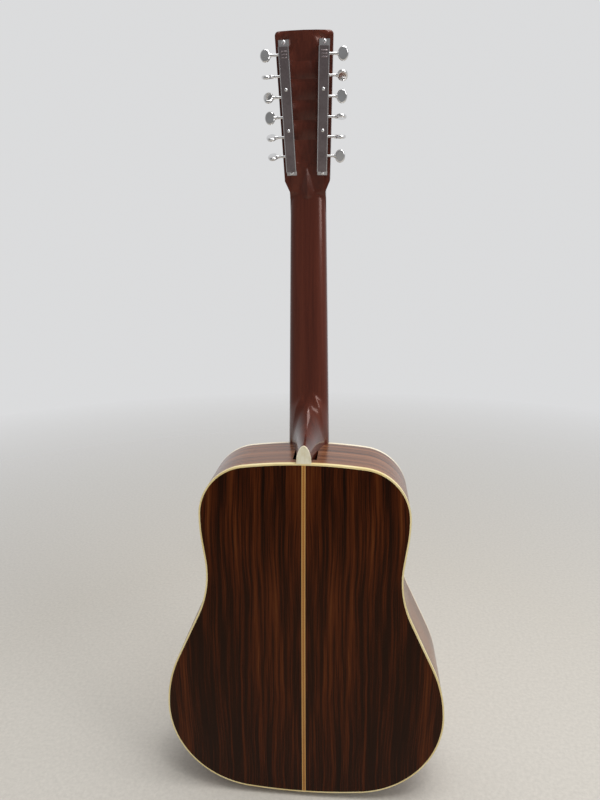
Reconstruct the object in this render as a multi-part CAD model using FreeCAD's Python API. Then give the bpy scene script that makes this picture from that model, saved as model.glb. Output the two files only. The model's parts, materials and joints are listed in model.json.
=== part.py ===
import FreeCAD, Part
import os
from math import acos, asin, atan, cos, degrees, hypot, pi, radians, sin, sqrt, tan

# Twelve-string dreadnought guitar, in millimetres.
# X is to the right seen from the back, so the bass side is +X. Y points to the front, Z up the neck.
# The origin is the centre of the tail, on the outer face of the sides, half way through the body's depth.

V = FreeCAD.Vector

# Outline of the body: widths, and heights above the tail
body_length = 507.0
lower_bout_width = 400.6
lower_bout_height = 133.5
waist_width = 273.9
waist_height = 345.2
upper_bout_width = 291.3
upper_bout_height = 431.0
waist_radius = 147.0
lower_corner_turn = radians(84.4)
shoulder_turn = radians(82.7)
lower_flank_turn = radians(24.8)
upper_flank_turn = radians(8.8)

# Depth of the body, and the dome of its back
tail_depth = 124.0
neck_end_depth = 100.0
back_dome_radius = 4600.0

# Plates, sides and edges
soundboard_thickness = 3.0
back_thickness = 2.8
side_thickness = 2.2
binding_depth = 6.0
center_strip_width = 6.6
seam_strip_width = 19.0
seam_strip_thickness = 2.5
lining_width = 6.0
lining_height = 14.0

# Blocks inside the ends of the body
neck_block_width = 90.0
neck_block_length = 45.0
end_block_width = 76.0
end_block_length = 18.0

# Sound hole, rosette and pickguard
soundhole_radius = 50.8
soundhole_setback = 143.0
rosette_depth = 1.0
rosette_gaps = (3.7, 2.5, 2.5)
rosette_widths = (1.5, 6.0, 1.5)
pickguard_thickness = 1.2
pickguard_drop = 128.0
pickguard_width = 48.0
pickguard_gap = 1.5
# Shares of the reach to the treble side, and of the drop below the sound hole's centre
pickguard_shape = ((0.27, -0.51), (0.72, -0.48), (1.0, 0.0), (0.9, 0.68), (0.6, 0.8), (0.16, 0.57))

# Bracing under the soundboard
x_brace_width = 8.0
x_brace_height = 16.0
x_brace_angle = radians(49.0)
x_brace_drop = 28.0
tone_bar_width = 7.0
tone_bar_height = 12.0
tone_bar_setbacks = (18.0, 74.0)
tone_bar_falls = (52.0, 44.0)
tone_bar_leg_gap = 20.0
tone_bar_reach = 0.7
finger_brace_height = 7.0
finger_brace_setbacks = (14.0, 58.0)
finger_brace_fall = 14.0
finger_brace_leg_gap = 12.8
finger_brace_taper = 20.0
soundhole_brace_width = 10.0
soundhole_brace_height = 5.0
soundhole_brace_length = 58.0
soundhole_brace_taper = 10.0
upper_brace_width = 12.0
upper_brace_height = 15.0
upper_brace_offset = 8.4
brace_end_height = 3.0
brace_taper = 40.0
bridge_plate_thickness = 2.5
bridge_plate_width = 131.0
bridge_plate_margin = 2.0

# Bracing on the back: heights above the tail, and widths, from the tail up
back_brace_heights = (78.0, 178.0, 300.0, 410.0)
back_brace_widths = (18.0, 18.0, 8.0, 8.0)
back_brace_depth = 11.0
back_brace_taper = 60.0

# Scale, fingerboard and frets
scale_length = 645.2
fret_count = 20
body_fret = 14
nut_width = 47.6
body_fret_width = 58.4
board_thickness = 6.5
board_radius = 406.0
board_end_margin = 4.0
fret_crown_width = 2.3
fret_crown_height = 1.1
fret_tang_width = 0.6
fret_tang_depth = 2.0
dot_radius = 3.0
dot_depth = 1.5
dot_frets = (5, 7, 9, 12, 15, 17)
double_dot_fret = 12
double_dot_spacing = 22.0
side_dot_radius = 1.1
side_dot_depth = 1.5
side_dot_height = 2.9

# Nut, saddle, bridge and pins
nut_thickness = 5.5
nut_rise = 0.4
bridge_width = 156.0
bridge_thickness = 9.0
bridge_wing_thickness = 3.5
bridge_center_width = 92.0
bridge_wing_run = 14.0
bridge_front_margin = 8.0
bridge_back_margin = 12.0
bridge_belly = 7.0
bridge_belly_width = 76.0
bridge_corner_radius = 5.0
saddle_thickness = 3.0
saddle_length = 78.0
saddle_slot_depth = 6.0
saddle_compensation = 2.6
saddle_edge_radius = 1.26
pin_row_setback = 16.0
pin_row_spacing = 10.0
pin_top_radius = 2.6
pin_end_radius = 1.9
pin_length = 21.0
pin_head_radius = 3.6
pin_head_height = 3.2
pin_collar_height = 1.1
pin_knob_radius = 3.1

# Strings: course centres and pairs, action, and gauges from the bass side to the treble side
nut_course_spacing = 7.2
nut_pair_spacing = 2.3
saddle_course_spacing = 10.6
saddle_pair_spacing = 2.8
pin_pair_spacing = 5.3
first_fret_action = 0.5
octave_fret_action = 2.6
string_diameters = (0.69, 1.19, 0.46, 0.99, 0.31, 0.76, 0.25, 0.58, 0.36, 0.36, 0.25, 0.25)
wound_strings = (0, 1, 3, 5, 7)
ball_end_radius = 1.9
ball_end_length = 3.6
ball_end_clearance = 0.1
string_slot_width = 1.8
string_bend_radius = 1.0
string_crest_radius = 3.0
string_lift = 0.2
string_contact = 0.02

# Neck and heel
neck_thickness_at_nut = 15.6
neck_thickness_at_body = 18.0
neck_edge = 2.5
neck_fullness = 0.6
heel_end_width = 20.0
heel_waist_gain = 8.0
heel_cap_length = 24.5
heel_run = 58.0
heel_cap_thickness = 2.6
heel_fullness = 0.5
heel_shoulder = 0.12
heel_sections = 12
heel_sink = 7.2
heel_overlap = 4.4
dovetail_length = 20.0
dovetail_root_width = 32.0
dovetail_end_width = 42.0
dovetail_depth = 82.0
truss_rod_width = 9.5
truss_rod_wall = 1.6
truss_rod_end_gap = 12.0

# Headstock, measured along its own slope from the nut line
head_tilt = radians(15.0)
head_length = 188.0
head_thickness = 15.0
veneer_thickness = 1.8
head_top_width = 71.2
head_base_width = 60.0
head_flare = 14.0
head_crown = 1.2
head_corner_radius = 5.0
volute_length = 36.0
volute_tail = 13.0
volute_width = 20.0
volute_height = 3.4
volute_tip_width = 0.8
volute_tail_width = 26.0
volute_tail_sink = 0.5
volute_dip = 0.85

# Tuning machines, six on each plate
tuners_per_side = 6
first_worm = 46.2
worm_pitch_along_head = 23.46
plate_edge_margin = 3.8
plate_width = 13.0
plate_wall = 1.0
plate_start = 21.5
plate_end = 179.3
cover_start = 27.0
cover_end = 172.0
cover_thickness = 0.8
rail_rise = 0.4
cover_screw_places = (77.0, 124.7)
plate_screw_margin = 2.75
boss_radius = 2.0
screw_shank_radius = 1.0
cover_screw_head_radius = 2.1
plate_screw_head_radius = 2.3
screw_head_height = 1.1
screw_slot_width = 0.55
screw_slot_depth = 0.5
plate_screw_length = 9.0

# Worm and gear
gear_teeth = 14
gear_module = 0.55
worm_pitch_radius = 2.2
thread_turns = 3.5
thread_addendum = 0.48
thread_sink = 0.05
thread_root_share = 0.72
thread_tip_share = 0.3
tooth_sink = 0.3
tooth_root_share = 0.78
tooth_tip_share = 0.34
mesh_root_gap = 0.17
mesh_backlash = 0.34
gear_width = 2.4
worm_axis_height = 3.4
worm_room = 0.4
shaft_radius = 1.7
stub_radius = 1.2
bearing_clearance = 0.05
end_float = 0.1
worm_collar_length = 0.6

# Buttons: oval, on the outer ends of the shafts
button_reach = 16.5
button_length = 13.3
button_width = 16.5
button_thickness = 4.6
button_edge_radius = 2.1
button_collar_radius = 2.6
button_collar_length = 3.0
button_collar_sink = 1.5
button_collar_foot_radius = 2.1
bass_button_turns = (0.0, 85.0, 70.0, 0.0, 40.0, 0.0)
treble_button_turns = (75.0, 75.0, 20.0, 50.0, 90.0, 30.0)

# Posts and bushings
post_radius = 2.8
post_outset = 1.0
post_height = 17.0
post_hole_radius = 0.9
post_hole_height = 9.5
post_edge_radius = 0.84
gear_hub_radius = 2.8
gear_screw_radius = 1.7
gear_screw_height = 0.9
bushing_radius = 4.4
bushing_length = 6.0
bushing_flange_radius = 6.0
bushing_flange_height = 1.0
bushing_edge_radius = 0.5
winding_height = 5.0
winding_height_step = 0.6
winding_gap = 0.6
winding_clearance = 0.3
wound_turns = 2
plain_turns = 3

# End pin
end_pin_head_radius = 7.0
end_pin_head_length = 3.0
end_pin_dome = 1.6
end_pin_neck_radius = 4.6
end_pin_neck_length = 4.0
end_pin_shank_radius = 5.6
end_pin_tip_radius = 4.4
end_pin_shank_length = 24.0

# Places worked out from the sizes above
top_y = tail_depth / 2
back_tail_y = top_y - tail_depth
back_neck_y = top_y - neck_end_depth
inner_top_y = top_y - soundboard_thickness
binding_width = side_thickness
cavity_inset = side_thickness + lining_width
board_top_y = top_y + board_thickness
crown_y = board_top_y + fret_crown_height
soundhole_height = body_length - soundhole_setback
well_behind = back_tail_y - tail_depth / 4
far = body_length * 2


def fret_height(number):
    """Height above the tail of a fret, counted from the nut."""
    return nut_z - scale_length * (1 - 2 ** (-number / 12))


nut_z = body_length + scale_length * (1 - 2 ** (-body_fret / 12))
body_z = body_length
saddle_z = nut_z - scale_length - saddle_compensation
board_end_z = fret_height(fret_count) - board_end_margin
board_taper = (body_fret_width - nut_width) / (nut_z - body_z)


def board_half_width(z):
    """Half the fingerboard's width at a height above the tail."""
    return (nut_width + board_taper * (nut_z - z)) / 2


def radius_drop(x):
    """How far the rounded fingerboard falls below its centre at x."""
    return board_radius - sqrt(board_radius ** 2 - x ** 2)


# General shapes


def box(x0, x1, y0, y1, z0, z1):
    return Part.makeBox(x1 - x0, y1 - y0, z1 - z0, V(x0, y0, z0))


def slab_y(y0, y1):
    """Everything between two planes across the depth."""
    return box(-far, far, y0, y1, -far, far * 2)


def slab_z(z0, z1):
    return box(-far, far, -far, far, z0, z1)


def slab_x(x0, x1):
    return box(x0, x1, -far, far, -far, far * 2)


def polygon(points):
    return Part.makePolygon(list(points) + [points[0]])


def plate_xz(points, y0, y1):
    """A straight-sided plate from (x, z) corners, between two depths."""
    return Part.Face(polygon([V(x, y0, z) for x, z in points])).extrude(V(0, y1 - y0, 0))


def bulged_corner(start, corner, end, fullness):
    """A smooth quarter turn, tangent to both legs of its corner. Near 0.55 it is part of an ellipse."""
    curve = Part.BezierCurve()
    curve.setPoles([start, start + (corner - start) * fullness, end + (corner - end) * fullness, end])
    return curve.toShape()


def tangent_arc(start, corner, end):
    """The circular arc that is tangent to two equal legs which meet at corner."""
    middle = (start + end) * 0.5
    half_chord = (end - start).Length / 2
    rise = (corner - middle).Length
    if rise < 1e-7 * half_chord:
        return Part.LineSegment(start, end).toShape()
    turn = 2 * atan(rise / half_chord)
    peak = middle + (corner - middle) * (half_chord * tan(turn / 4) / rise)
    return Part.Arc(start, peak, end).toShape()


def biarc(start, start_direction, end, end_direction):
    """Two tangent arcs that join two points with given directions."""
    span = end - start
    both = start_direction + end_direction
    closing = 2 * (1 - start_direction.dot(end_direction))
    along = span.dot(both)
    leg = (sqrt(along ** 2 + closing * span.dot(span)) - along) / closing
    first = start + start_direction * leg
    last = end - end_direction * leg
    joint = (first + last) * 0.5
    return [tangent_arc(start, first, joint), tangent_arc(joint, last, end)]


def tube(edges, radius, direction):
    """A round wire of one radius along a path that starts in a given direction."""
    start = edges[0].Vertexes[0].Point
    section = Part.Wire(Part.makeCircle(radius, start, direction))
    return Part.Wire(edges).makePipeShell([section], True, False)


def group(solids):
    return Part.makeCompound(solids)


# Outline of the body


def quarter_radii(half_width, height, turn):
    """Radii of the tight arc and the flat arc of a quarter outline."""
    c = cos(turn)
    s = sin(turn)
    closing = 1 - c - s
    tight = (half_width * (1 - s) - c * height) / closing
    flat = ((1 - c) * height - s * half_width) / closing
    return tight, flat


def flank_radius(narrowing, height, turn):
    """Radius of the round side above or below the waist."""
    c = cos(turn)
    s = sin(turn)
    return (narrowing * c - height * s) / (c - 1) - waist_radius


def outline_arcs():
    """Arcs of the right half, from the tail up: centre, radius, start, end, and whether they bulge."""
    corner, tail = quarter_radii(lower_bout_width / 2, lower_bout_height, lower_corner_turn)
    shoulder_rise = body_length - upper_bout_height
    shoulder, top = quarter_radii(upper_bout_width / 2, shoulder_rise, shoulder_turn)
    lower_narrowing = (lower_bout_width - waist_width) / 2
    lower = flank_radius(lower_narrowing, waist_height - lower_bout_height, lower_flank_turn)
    upper_narrowing = (upper_bout_width - waist_width) / 2
    upper = flank_radius(upper_narrowing, upper_bout_height - waist_height, upper_flank_turn)
    lower_x = lower_bout_width / 2
    upper_x = upper_bout_width / 2
    waist_x = waist_width / 2 + waist_radius
    return [
        (0, tail, tail, -pi / 2, -lower_corner_turn, True),
        (lower_x - corner, lower_bout_height, corner, -lower_corner_turn, 0, True),
        (lower_x - lower, lower_bout_height, lower, 0, lower_flank_turn, True),
        (waist_x, waist_height, waist_radius, pi + lower_flank_turn, pi - upper_flank_turn, False),
        (upper_x - upper, upper_bout_height, upper, -upper_flank_turn, 0, True),
        (upper_x - shoulder, upper_bout_height, shoulder, 0, shoulder_turn, True),
        (0, body_length - top, top, shoulder_turn, pi / 2, True),
    ]


def outline_face(inset, y):
    """The body's outline, drawn in by an inset, as a face at one depth."""
    half = []
    for x, z, radius, start, end, bulges in outline_arcs():
        reach = radius - inset if bulges else radius + inset
        angles = (start, (start + end) / 2, end)
        half.append([(x + reach * cos(a), z + reach * sin(a)) for a in angles])
    other_half = [[(-x, z) for x, z in reversed(arc)] for arc in reversed(half)]
    edges = []
    previous = None
    for arc in half + other_half:
        points = [V(x, y, z) for x, z in arc]
        if previous and (points[0] - previous).Length > 1e-6:
            edges.append(Part.LineSegment(previous, points[0]).toShape())
        edges.append(Part.Arc(*points).toShape())
        previous = points[-1]
    return Part.Face(Part.Wire(edges))


def body_prism(inset, y0, y1):
    return outline_face(inset, y0).extrude(V(0, y1 - y0, 0))


def dome_center():
    """Centre of the sphere that the back is part of."""
    rise = back_neck_y - back_tail_y
    chord = hypot(rise, body_length)
    reach = sqrt(back_dome_radius ** 2 - (chord / 2) ** 2)
    y = (back_neck_y + back_tail_y) / 2 + reach * body_length / chord
    z = body_length / 2 - reach * rise / chord
    return V(0, y, z)


def dome(depth):
    """The sphere of the back, drawn in by a depth."""
    return Part.makeSphere(back_dome_radius - depth, dome_center())


def dome_y(x, z, depth):
    """Y of the back's surface, drawn in by a depth, at one place."""
    center = dome_center()
    radius = back_dome_radius - depth
    return center.y - sqrt(radius ** 2 - x ** 2 - (z - center.z) ** 2)


# Soundboard and what is on it


def soundhole(radius, y0, y1):
    return Part.makeCylinder(radius, y1 - y0, V(0, y0, soundhole_height), V(0, 1, 0))


def rosette_rings():
    """Three rings let into the soundboard round the sound hole."""
    rings = []
    radius = soundhole_radius
    floor = top_y - rosette_depth
    for gap, width in zip(rosette_gaps, rosette_widths):
        radius += gap
        ring = soundhole(radius + width, floor, top_y).cut(soundhole(radius, floor, top_y))
        rings.append(ring)
        radius += width
    return rings


def soundboard():
    board = body_prism(binding_width, inner_top_y, top_y)
    board = board.cut(soundhole(soundhole_radius, inner_top_y - 1, top_y + 1))
    board = board.cut(dovetail())
    for ring in rosette_rings():
        board = board.cut(ring)
    return board.cut(pin_holes())


def pickguard():
    """A drop-shaped plate on the treble side, which follows the sound hole."""
    ring = soundhole_radius + sum(rosette_gaps) + sum(rosette_widths) + pickguard_gap
    reach = ring + pickguard_width
    points = []
    for out, down in pickguard_shape:
        points.append(V(-reach * out, top_y, soundhole_height - pickguard_drop * down))
    curve = Part.BSplineCurve()
    curve.interpolate(points, PeriodicFlag=True)
    plate = Part.Face(Part.Wire(curve.toShape())).extrude(V(0, pickguard_thickness, 0))
    plate = plate.cut(soundhole(ring, top_y - 1, top_y + pickguard_thickness + 1))
    plate = plate.common(slab_x(-far, 0)).cut(board_wedge(top_y - 1, board_top_y))
    return max(plate.Solids, key=lambda solid: solid.Volume)


def bar(start, end, width, height, taper, y_face, y_sign):
    """A brace between two (x, z) points on a plate's face, with its ends tapered down."""
    along = V(end[0] - start[0], 0, end[1] - start[1])
    length = along.Length
    along.normalize()
    across = along.cross(V(0, 1, 0))
    origin = V(start[0], y_face, start[1]) - across * (width / 2)
    low = min(brace_end_height, height / 2)
    run = min(taper, length / 3)
    profile = [(0, 0), (length, 0), (length, low), (length - run, height), (run, height), (0, low)]
    corners = [origin + along * s + V(0, y_sign * rise, 0) for s, rise in profile]
    return Part.Face(polygon(corners)).extrude(across * width)


def top_bar(start, end, width, height, taper=brace_taper):
    """A brace under the soundboard, cut off where the linings begin."""
    room = body_prism(cavity_inset, inner_top_y - height - 1, inner_top_y)
    return bar(start, end, width, height, taper, inner_top_y, -1).common(room)


def x_center_z():
    return soundhole_height - soundhole_radius - x_brace_drop


def x_leg_x(z):
    """Distance from the centre line to the middle of an X brace's leg, below or above the crossing."""
    return abs(x_center_z() - z) * tan(x_brace_angle)


def x_brace_pair():
    """Two long bars that cross below the sound hole and are let half way into each other."""
    reach = body_length / 2
    z = x_center_z()
    run = reach * sin(x_brace_angle)
    rise = reach * cos(x_brace_angle)
    first = top_bar((-run, z - rise), (run, z + rise), x_brace_width, x_brace_height)
    second = top_bar((run, z - rise), (-run, z + rise), x_brace_width, x_brace_height)
    half = inner_top_y - x_brace_height / 2
    lower_half = slab_y(half - x_brace_height, half)
    upper_half = slab_y(half, inner_top_y + 1)
    return [first.cut(second.common(lower_half)), second.cut(first.common(upper_half))]


def tone_bars():
    """Two slanted bars behind the bridge, and two short ones outside each leg of the X."""
    bars = []
    for setback, fall in zip(tone_bar_setbacks, tone_bar_falls):
        z = bridge_back_z() - setback
        left = x_leg_x(z) - tone_bar_leg_gap
        right = min(x_leg_x(z - fall), lower_bout_width / 2) * tone_bar_reach
        bars.append(top_bar((-left, z), (right, z - fall), tone_bar_width, tone_bar_height))
    for setback in finger_brace_setbacks:
        z = saddle_z - setback
        start = x_leg_x(z) + finger_brace_leg_gap
        for side in (-1, 1):
            inner = (side * start, z)
            outer = (side * lower_bout_width / 2, z - finger_brace_fall)
            bars.append(top_bar(inner, outer, tone_bar_width, finger_brace_height, finger_brace_taper))
    return bars


def upper_brace_z():
    return board_end_z + upper_brace_offset


def soundhole_braces():
    """A stout bar under the end of the fingerboard, and a flat one on each side of the sound hole."""
    z = upper_brace_z()
    reach = upper_bout_width / 2
    bars = [top_bar((-reach, z), (reach, z), upper_brace_width, upper_brace_height)]
    top = z - upper_brace_width
    x = soundhole_radius + soundhole_brace_width
    for side in (-1, 1):
        low = (side * x, top - soundhole_brace_length)
        high = (side * x, top)
        bars.append(top_bar(low, high, soundhole_brace_width, soundhole_brace_height, soundhole_brace_taper))
    return bars


def bridge_plate():
    """A hard plate under the bridge, between the legs of the X, which the ball ends pull against."""
    low = bridge_back_z()
    high = bridge_front_z() + bridge_plate_margin
    half = bridge_plate_width / 2
    plate = box(-half, half, inner_top_y - bridge_plate_thickness, inner_top_y, low, high)
    for brace in x_brace_pair():
        plate = plate.cut(brace)
    middle = sorted(plate.Solids, key=lambda solid: solid.Volume)[-1]
    return middle.cut(pin_holes())


# Back, sides, bindings and what holds them together


def back_sheet(thickness, depth, inset):
    """A domed sheet that follows the back, starting at a depth below its outer face."""
    sheet = body_prism(inset, well_behind, 0)
    return sheet.common(dome(depth)).cut(dome(depth + thickness))


def back_plates():
    sheet = back_sheet(back_thickness, 0, binding_width)
    half = center_strip_width / 2
    bass = sheet.common(slab_x(half, far))
    treble = sheet.common(slab_x(-far, -half))
    return bass, treble, sheet.common(slab_x(-half, half))


def block_zone(width, z0, z1):
    """The room that an end block takes inside the body."""
    zone = box(-width / 2, width / 2, well_behind, inner_top_y, z0, z1)
    return zone.common(body_prism(side_thickness, well_behind, inner_top_y)).common(dome(back_thickness))


def neck_block():
    zone = block_zone(neck_block_width, body_length - side_thickness - neck_block_length, body_length)
    return zone.cut(dovetail())


def end_block():
    return block_zone(end_block_width, 0, side_thickness + end_block_length).cut(end_pin())


def back_braces():
    """Four bars across the back, with their feet cut to the dome."""
    room = body_prism(cavity_inset, well_behind, 0).common(dome(back_thickness))
    braces = []
    for z, width in zip(back_brace_heights, back_brace_widths):
        reach = lower_bout_width / 2
        face = dome_y(0, z, back_thickness)
        low = face - back_brace_depth
        profile = [
            (-reach, low),
            (reach, low),
            (reach, face + brace_end_height),
            (brace_shoulder(z), face + back_brace_depth),
            (-brace_shoulder(z), face + back_brace_depth),
            (-reach, face + brace_end_height),
        ]
        corners = [V(x, y, z - width / 2) for x, y in profile]
        braces.append(Part.Face(polygon(corners)).extrude(V(0, 0, width)).common(room))
    return braces


def brace_shoulder(z):
    """Half the length of a back brace's level stretch."""
    narrow = abs(z - waist_height) < waist_radius / 2
    width = waist_width if narrow else lower_bout_width
    return width / 2 - back_brace_taper


def seam_strip():
    """A thin cross-grained strip inside the back's centre seam, between the braces and the blocks."""
    sheet = back_sheet(seam_strip_thickness, back_thickness, cavity_inset)
    half = seam_strip_width / 2
    low = side_thickness + end_block_length
    high = body_length - side_thickness - neck_block_length
    strip = sheet.common(slab_x(-half, half)).common(slab_z(low, high))
    for brace in back_braces():
        strip = strip.cut(brace)
    return strip


def sides():
    """Two bent sides that meet at the centre of the tail and stop at the neck's dovetail."""
    ring = body_prism(0, well_behind, top_y - binding_depth)
    ring = ring.cut(body_prism(side_thickness, well_behind - 1, top_y)).common(dome(binding_depth))
    ring = ring.cut(dovetail()).cut(end_pin())
    return ring.common(slab_x(0, far)), ring.common(slab_x(-far, 0))


def bindings():
    """The edge strips of the top and of the back."""
    front = body_prism(0, top_y - binding_depth, top_y)
    front = front.cut(body_prism(binding_width, top_y - binding_depth - 1, top_y + 1)).cut(dovetail())
    rear = body_prism(0, well_behind, 0).cut(body_prism(binding_width, well_behind - 1, 1))
    return [front, rear.common(dome(0)).cut(dome(binding_depth))]


def linings():
    """Strips inside the corners, on each side, between the blocks."""
    outer = body_prism(side_thickness, well_behind, inner_top_y)
    ring = outer.cut(body_prism(cavity_inset, well_behind - 1, inner_top_y + 1))
    high = body_length - side_thickness - neck_block_length
    low = side_thickness + end_block_length
    neck_room = box(-neck_block_width / 2, neck_block_width / 2, -far, far, high, far)
    end_room = box(-end_block_width / 2, end_block_width / 2, -far, far, -far, low)
    ring = ring.cut(neck_room).cut(end_room)
    front = ring.common(slab_y(inner_top_y - lining_height, inner_top_y))
    rear = ring.common(dome(back_thickness)).cut(dome(back_thickness + lining_height))
    return front.Solids + rear.Solids


# Neck


def heel_end_y():
    return back_neck_y


def heel_half_width(y):
    """Half-width of the heel where it meets the body."""
    share = (y - heel_end_y()) / neck_end_depth
    end = heel_end_width / 2
    root = board_half_width(body_z)
    return end + heel_waist_gain * share + (root - end - heel_waist_gain) * share ** 4


def neck_back_y(z):
    """Y of the neck's back at a height."""
    share = (nut_z - z) / (nut_z - body_z)
    thickness = neck_thickness_at_nut + (neck_thickness_at_body - neck_thickness_at_nut) * share
    return top_y - thickness


def heel_rise(y):
    """How far the heel stands up the neck from the body, at one depth."""
    share = min((y - heel_end_y()) / (neck_back_y(body_z) - heel_end_y()), 1)
    return heel_cap_length + heel_run * (1 - sqrt(1 - share ** 2))


def heel_section(y):
    """A pointed arch that stands on the body."""
    half = heel_half_width(y)
    tip = body_z + heel_rise(y)
    foot = body_z - heel_overlap
    shoulder = body_z + heel_rise(y) * heel_shoulder
    return Part.Wire(
        [
            Part.LineSegment(V(-half, y, foot), V(half, y, foot)).toShape(),
            Part.LineSegment(V(half, y, foot), V(half, y, shoulder)).toShape(),
            bulged_corner(V(half, y, shoulder), V(half, y, tip), V(0, y, tip), heel_fullness),
            bulged_corner(V(0, y, tip), V(-half, y, tip), V(-half, y, shoulder), heel_fullness),
            Part.LineSegment(V(-half, y, shoulder), V(-half, y, foot)).toShape(),
        ]
    )


def heel():
    """The heel, from its end up to inside the neck, with its sections closest where it curves most."""
    depth = neck_back_y(body_z) - heel_end_y()
    last = heel_sections - 1
    places = [heel_end_y() + depth * (1 - (1 - i / last) ** 2) for i in range(heel_sections)]
    places.append(places[-1] + heel_sink)
    return Part.makeLoft([heel_section(y) for y in places], True, True)


def round_section(z, base_y, ridge_y, half):
    """A D-shaped section, from a base line to its ridge."""
    edge = base_y - neck_edge
    return Part.Wire(
        [
            Part.LineSegment(V(-half, base_y, z), V(half, base_y, z)).toShape(),
            Part.LineSegment(V(half, base_y, z), V(half, edge, z)).toShape(),
            bulged_corner(V(half, edge, z), V(half, ridge_y, z), V(0, ridge_y, z), neck_fullness),
            bulged_corner(V(0, ridge_y, z), V(-half, ridge_y, z), V(-half, edge, z), neck_fullness),
            Part.LineSegment(V(-half, edge, z), V(-half, base_y, z)).toShape(),
        ]
    )


def shaft():
    low = body_z - heel_overlap
    high = nut_z + nut_thickness
    sections = [round_section(z, top_y, neck_back_y(z), board_half_width(z)) for z in (low, high)]
    return Part.makeLoft(sections, True, True)


head_axis = V(0, -sin(head_tilt), cos(head_tilt))
head_normal = V(0, cos(head_tilt), sin(head_tilt))
head_origin = V(0, top_y, nut_z)
head_slope = (head_top_width - head_base_width) / 2 / (head_length - head_flare)
head_edge_angle = atan(head_slope)


def head_point(x, along, out):
    """A point given across the headstock, along it and out from its front face."""
    return head_origin + V(x, 0, 0) + head_axis * along + head_normal * out


def head_half_width(along):
    return head_base_width / 2 + (along - head_flare) * head_slope


def head_prism(low, high):
    """The headstock's outline, between two depths below its front face."""
    neck_half = board_half_width(nut_z)
    top_half = head_top_width / 2
    below = -head_thickness * tan(head_tilt)
    side = [(neck_half, below), (neck_half, 0), (head_base_width / 2, head_flare), (top_half, head_length)]
    corners = side + [(-x, along) for x, along in reversed(side)]
    points = [head_point(x, along, low) for x, along in corners]
    edges = [Part.LineSegment(a, b).toShape() for a, b in zip(points, points[1:])]
    crown = head_point(0, head_length + head_crown, low)
    edges[len(side) - 1] = Part.Arc(points[len(side) - 1], crown, points[len(side)]).toShape()
    edges.append(Part.LineSegment(points[-1], points[0]).toShape())
    solid = Part.Face(Part.Wire(edges)).extrude(head_normal * (high - low))
    top_corners = [points[len(side) - 1], points[len(side)]]
    uprights = []
    for edge in solid.Edges:
        if any((edge.Vertexes[0].Point - p).Length < 1e-4 for p in top_corners):
            direction = edge.tangentAt(edge.FirstParameter)
            if abs(abs(direction.dot(head_normal)) - 1) < 1e-6:
                uprights.append(edge)
    return solid.makeFillet(head_corner_radius, uprights)


def volute():
    """The raised dart where the headstock meets the back of the neck."""
    tip = head_point(0, volute_length, -head_thickness)
    tail_z = nut_z - volute_tail
    valley = head_point(0, 0, -head_thickness)
    tail_y = neck_back_y(tail_z)
    stations = (
        (tip.z, tip.y, volute_tip_width),
        (valley.z, (tip.y + tail_y) / 2 - volute_dip, volute_width),
        (tail_z, tail_y + volute_tail_sink, volute_tail_width),
    )
    sections = []
    for z, ridge_y, width in stations:
        root_y = ridge_y + volute_height * 2
        half = width / 2
        sections.append(polygon([V(-half, root_y, z), V(half, root_y, z), V(0, ridge_y, z)]))
    return Part.makeLoft(sections, True, True)


def dovetail():
    """The neck's tenon, wider at its end, with its front face in line with the soundboard."""
    root = dovetail_root_width / 2
    end = dovetail_end_width / 2
    tip_z = body_z - side_thickness - dovetail_length
    corners = [(-root, body_z + side_thickness), (root, body_z + side_thickness), (end, tip_z), (-end, tip_z)]
    return plate_xz(corners, top_y - dovetail_depth, top_y)


def truss_rod_box(inset):
    """The channel of the truss rod, or the bore in it when drawn in."""
    half = truss_rod_width / 2 - inset
    low = body_z + truss_rod_end_gap
    high = nut_z - truss_rod_end_gap
    return box(-half, half, top_y - truss_rod_width + inset, top_y - inset, low, high)


def neck_and_cap():
    """The neck in one piece, and the cap on the end of its heel."""
    solid = shaft().fuse(heel()).fuse(head_prism(-head_thickness, -veneer_thickness)).fuse(volute())
    solid = solid.cut(body_prism(0, well_behind - 1, top_y + 1))
    cap_plane = heel_end_y() + heel_cap_thickness
    cap = solid.common(slab_y(-far, cap_plane))
    solid = solid.cut(slab_y(-far, cap_plane))
    tenon = dovetail().common(body_prism(0, well_behind - 1, top_y + 1))
    solid = solid.fuse(tenon).cut(truss_rod_box(0))
    for bore in post_bores(head_thickness) + plate_screws():
        solid = solid.cut(bore)
    return solid.removeSplitter(), cap


def post_bores(depth):
    """The twelve bores through the headstock, from past its front to past a depth behind it."""
    bores = []
    for side in (1, -1):
        for place in post_places(side):
            start = place - head_normal * (depth + 1)
            bores.append(Part.makeCylinder(bushing_radius, depth + 2, start, head_normal))
    return bores


def truss_rod():
    outer = truss_rod_box(0)
    return outer.cut(box_longer(truss_rod_box(truss_rod_wall)))


def box_longer(solid):
    """The same box, carried past both its ends along the neck."""
    bounds = solid.BoundBox
    return box(bounds.XMin, bounds.XMax, bounds.YMin, bounds.YMax, bounds.ZMin - 1, bounds.ZMax + 1)


def headstock_veneer():
    veneer = head_prism(-veneer_thickness, 0).common(slab_z(nut_z + nut_thickness, far * 2))
    for bore in post_bores(veneer_thickness):
        veneer = veneer.cut(bore)
    return veneer


# Fingerboard


def board_arch(y_center, y_floor, z0, z1):
    """A bar with a rounded top, wide enough for the whole fingerboard."""
    radius = board_radius - board_top_y + y_center
    tall = Part.makeCylinder(radius, z1 - z0, V(0, board_top_y - board_radius, z0))
    half = board_half_width(board_end_z) + 1
    return tall.common(box(-half, half, y_floor, y_center + 1, z0, z1))


def board_wedge(y0, y1):
    """The tapered plan of the fingerboard."""
    wide = board_half_width(board_end_z)
    narrow = board_half_width(nut_z)
    return plate_xz([(-wide, board_end_z), (wide, board_end_z), (narrow, nut_z), (-narrow, nut_z)], y0, y1)


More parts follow.
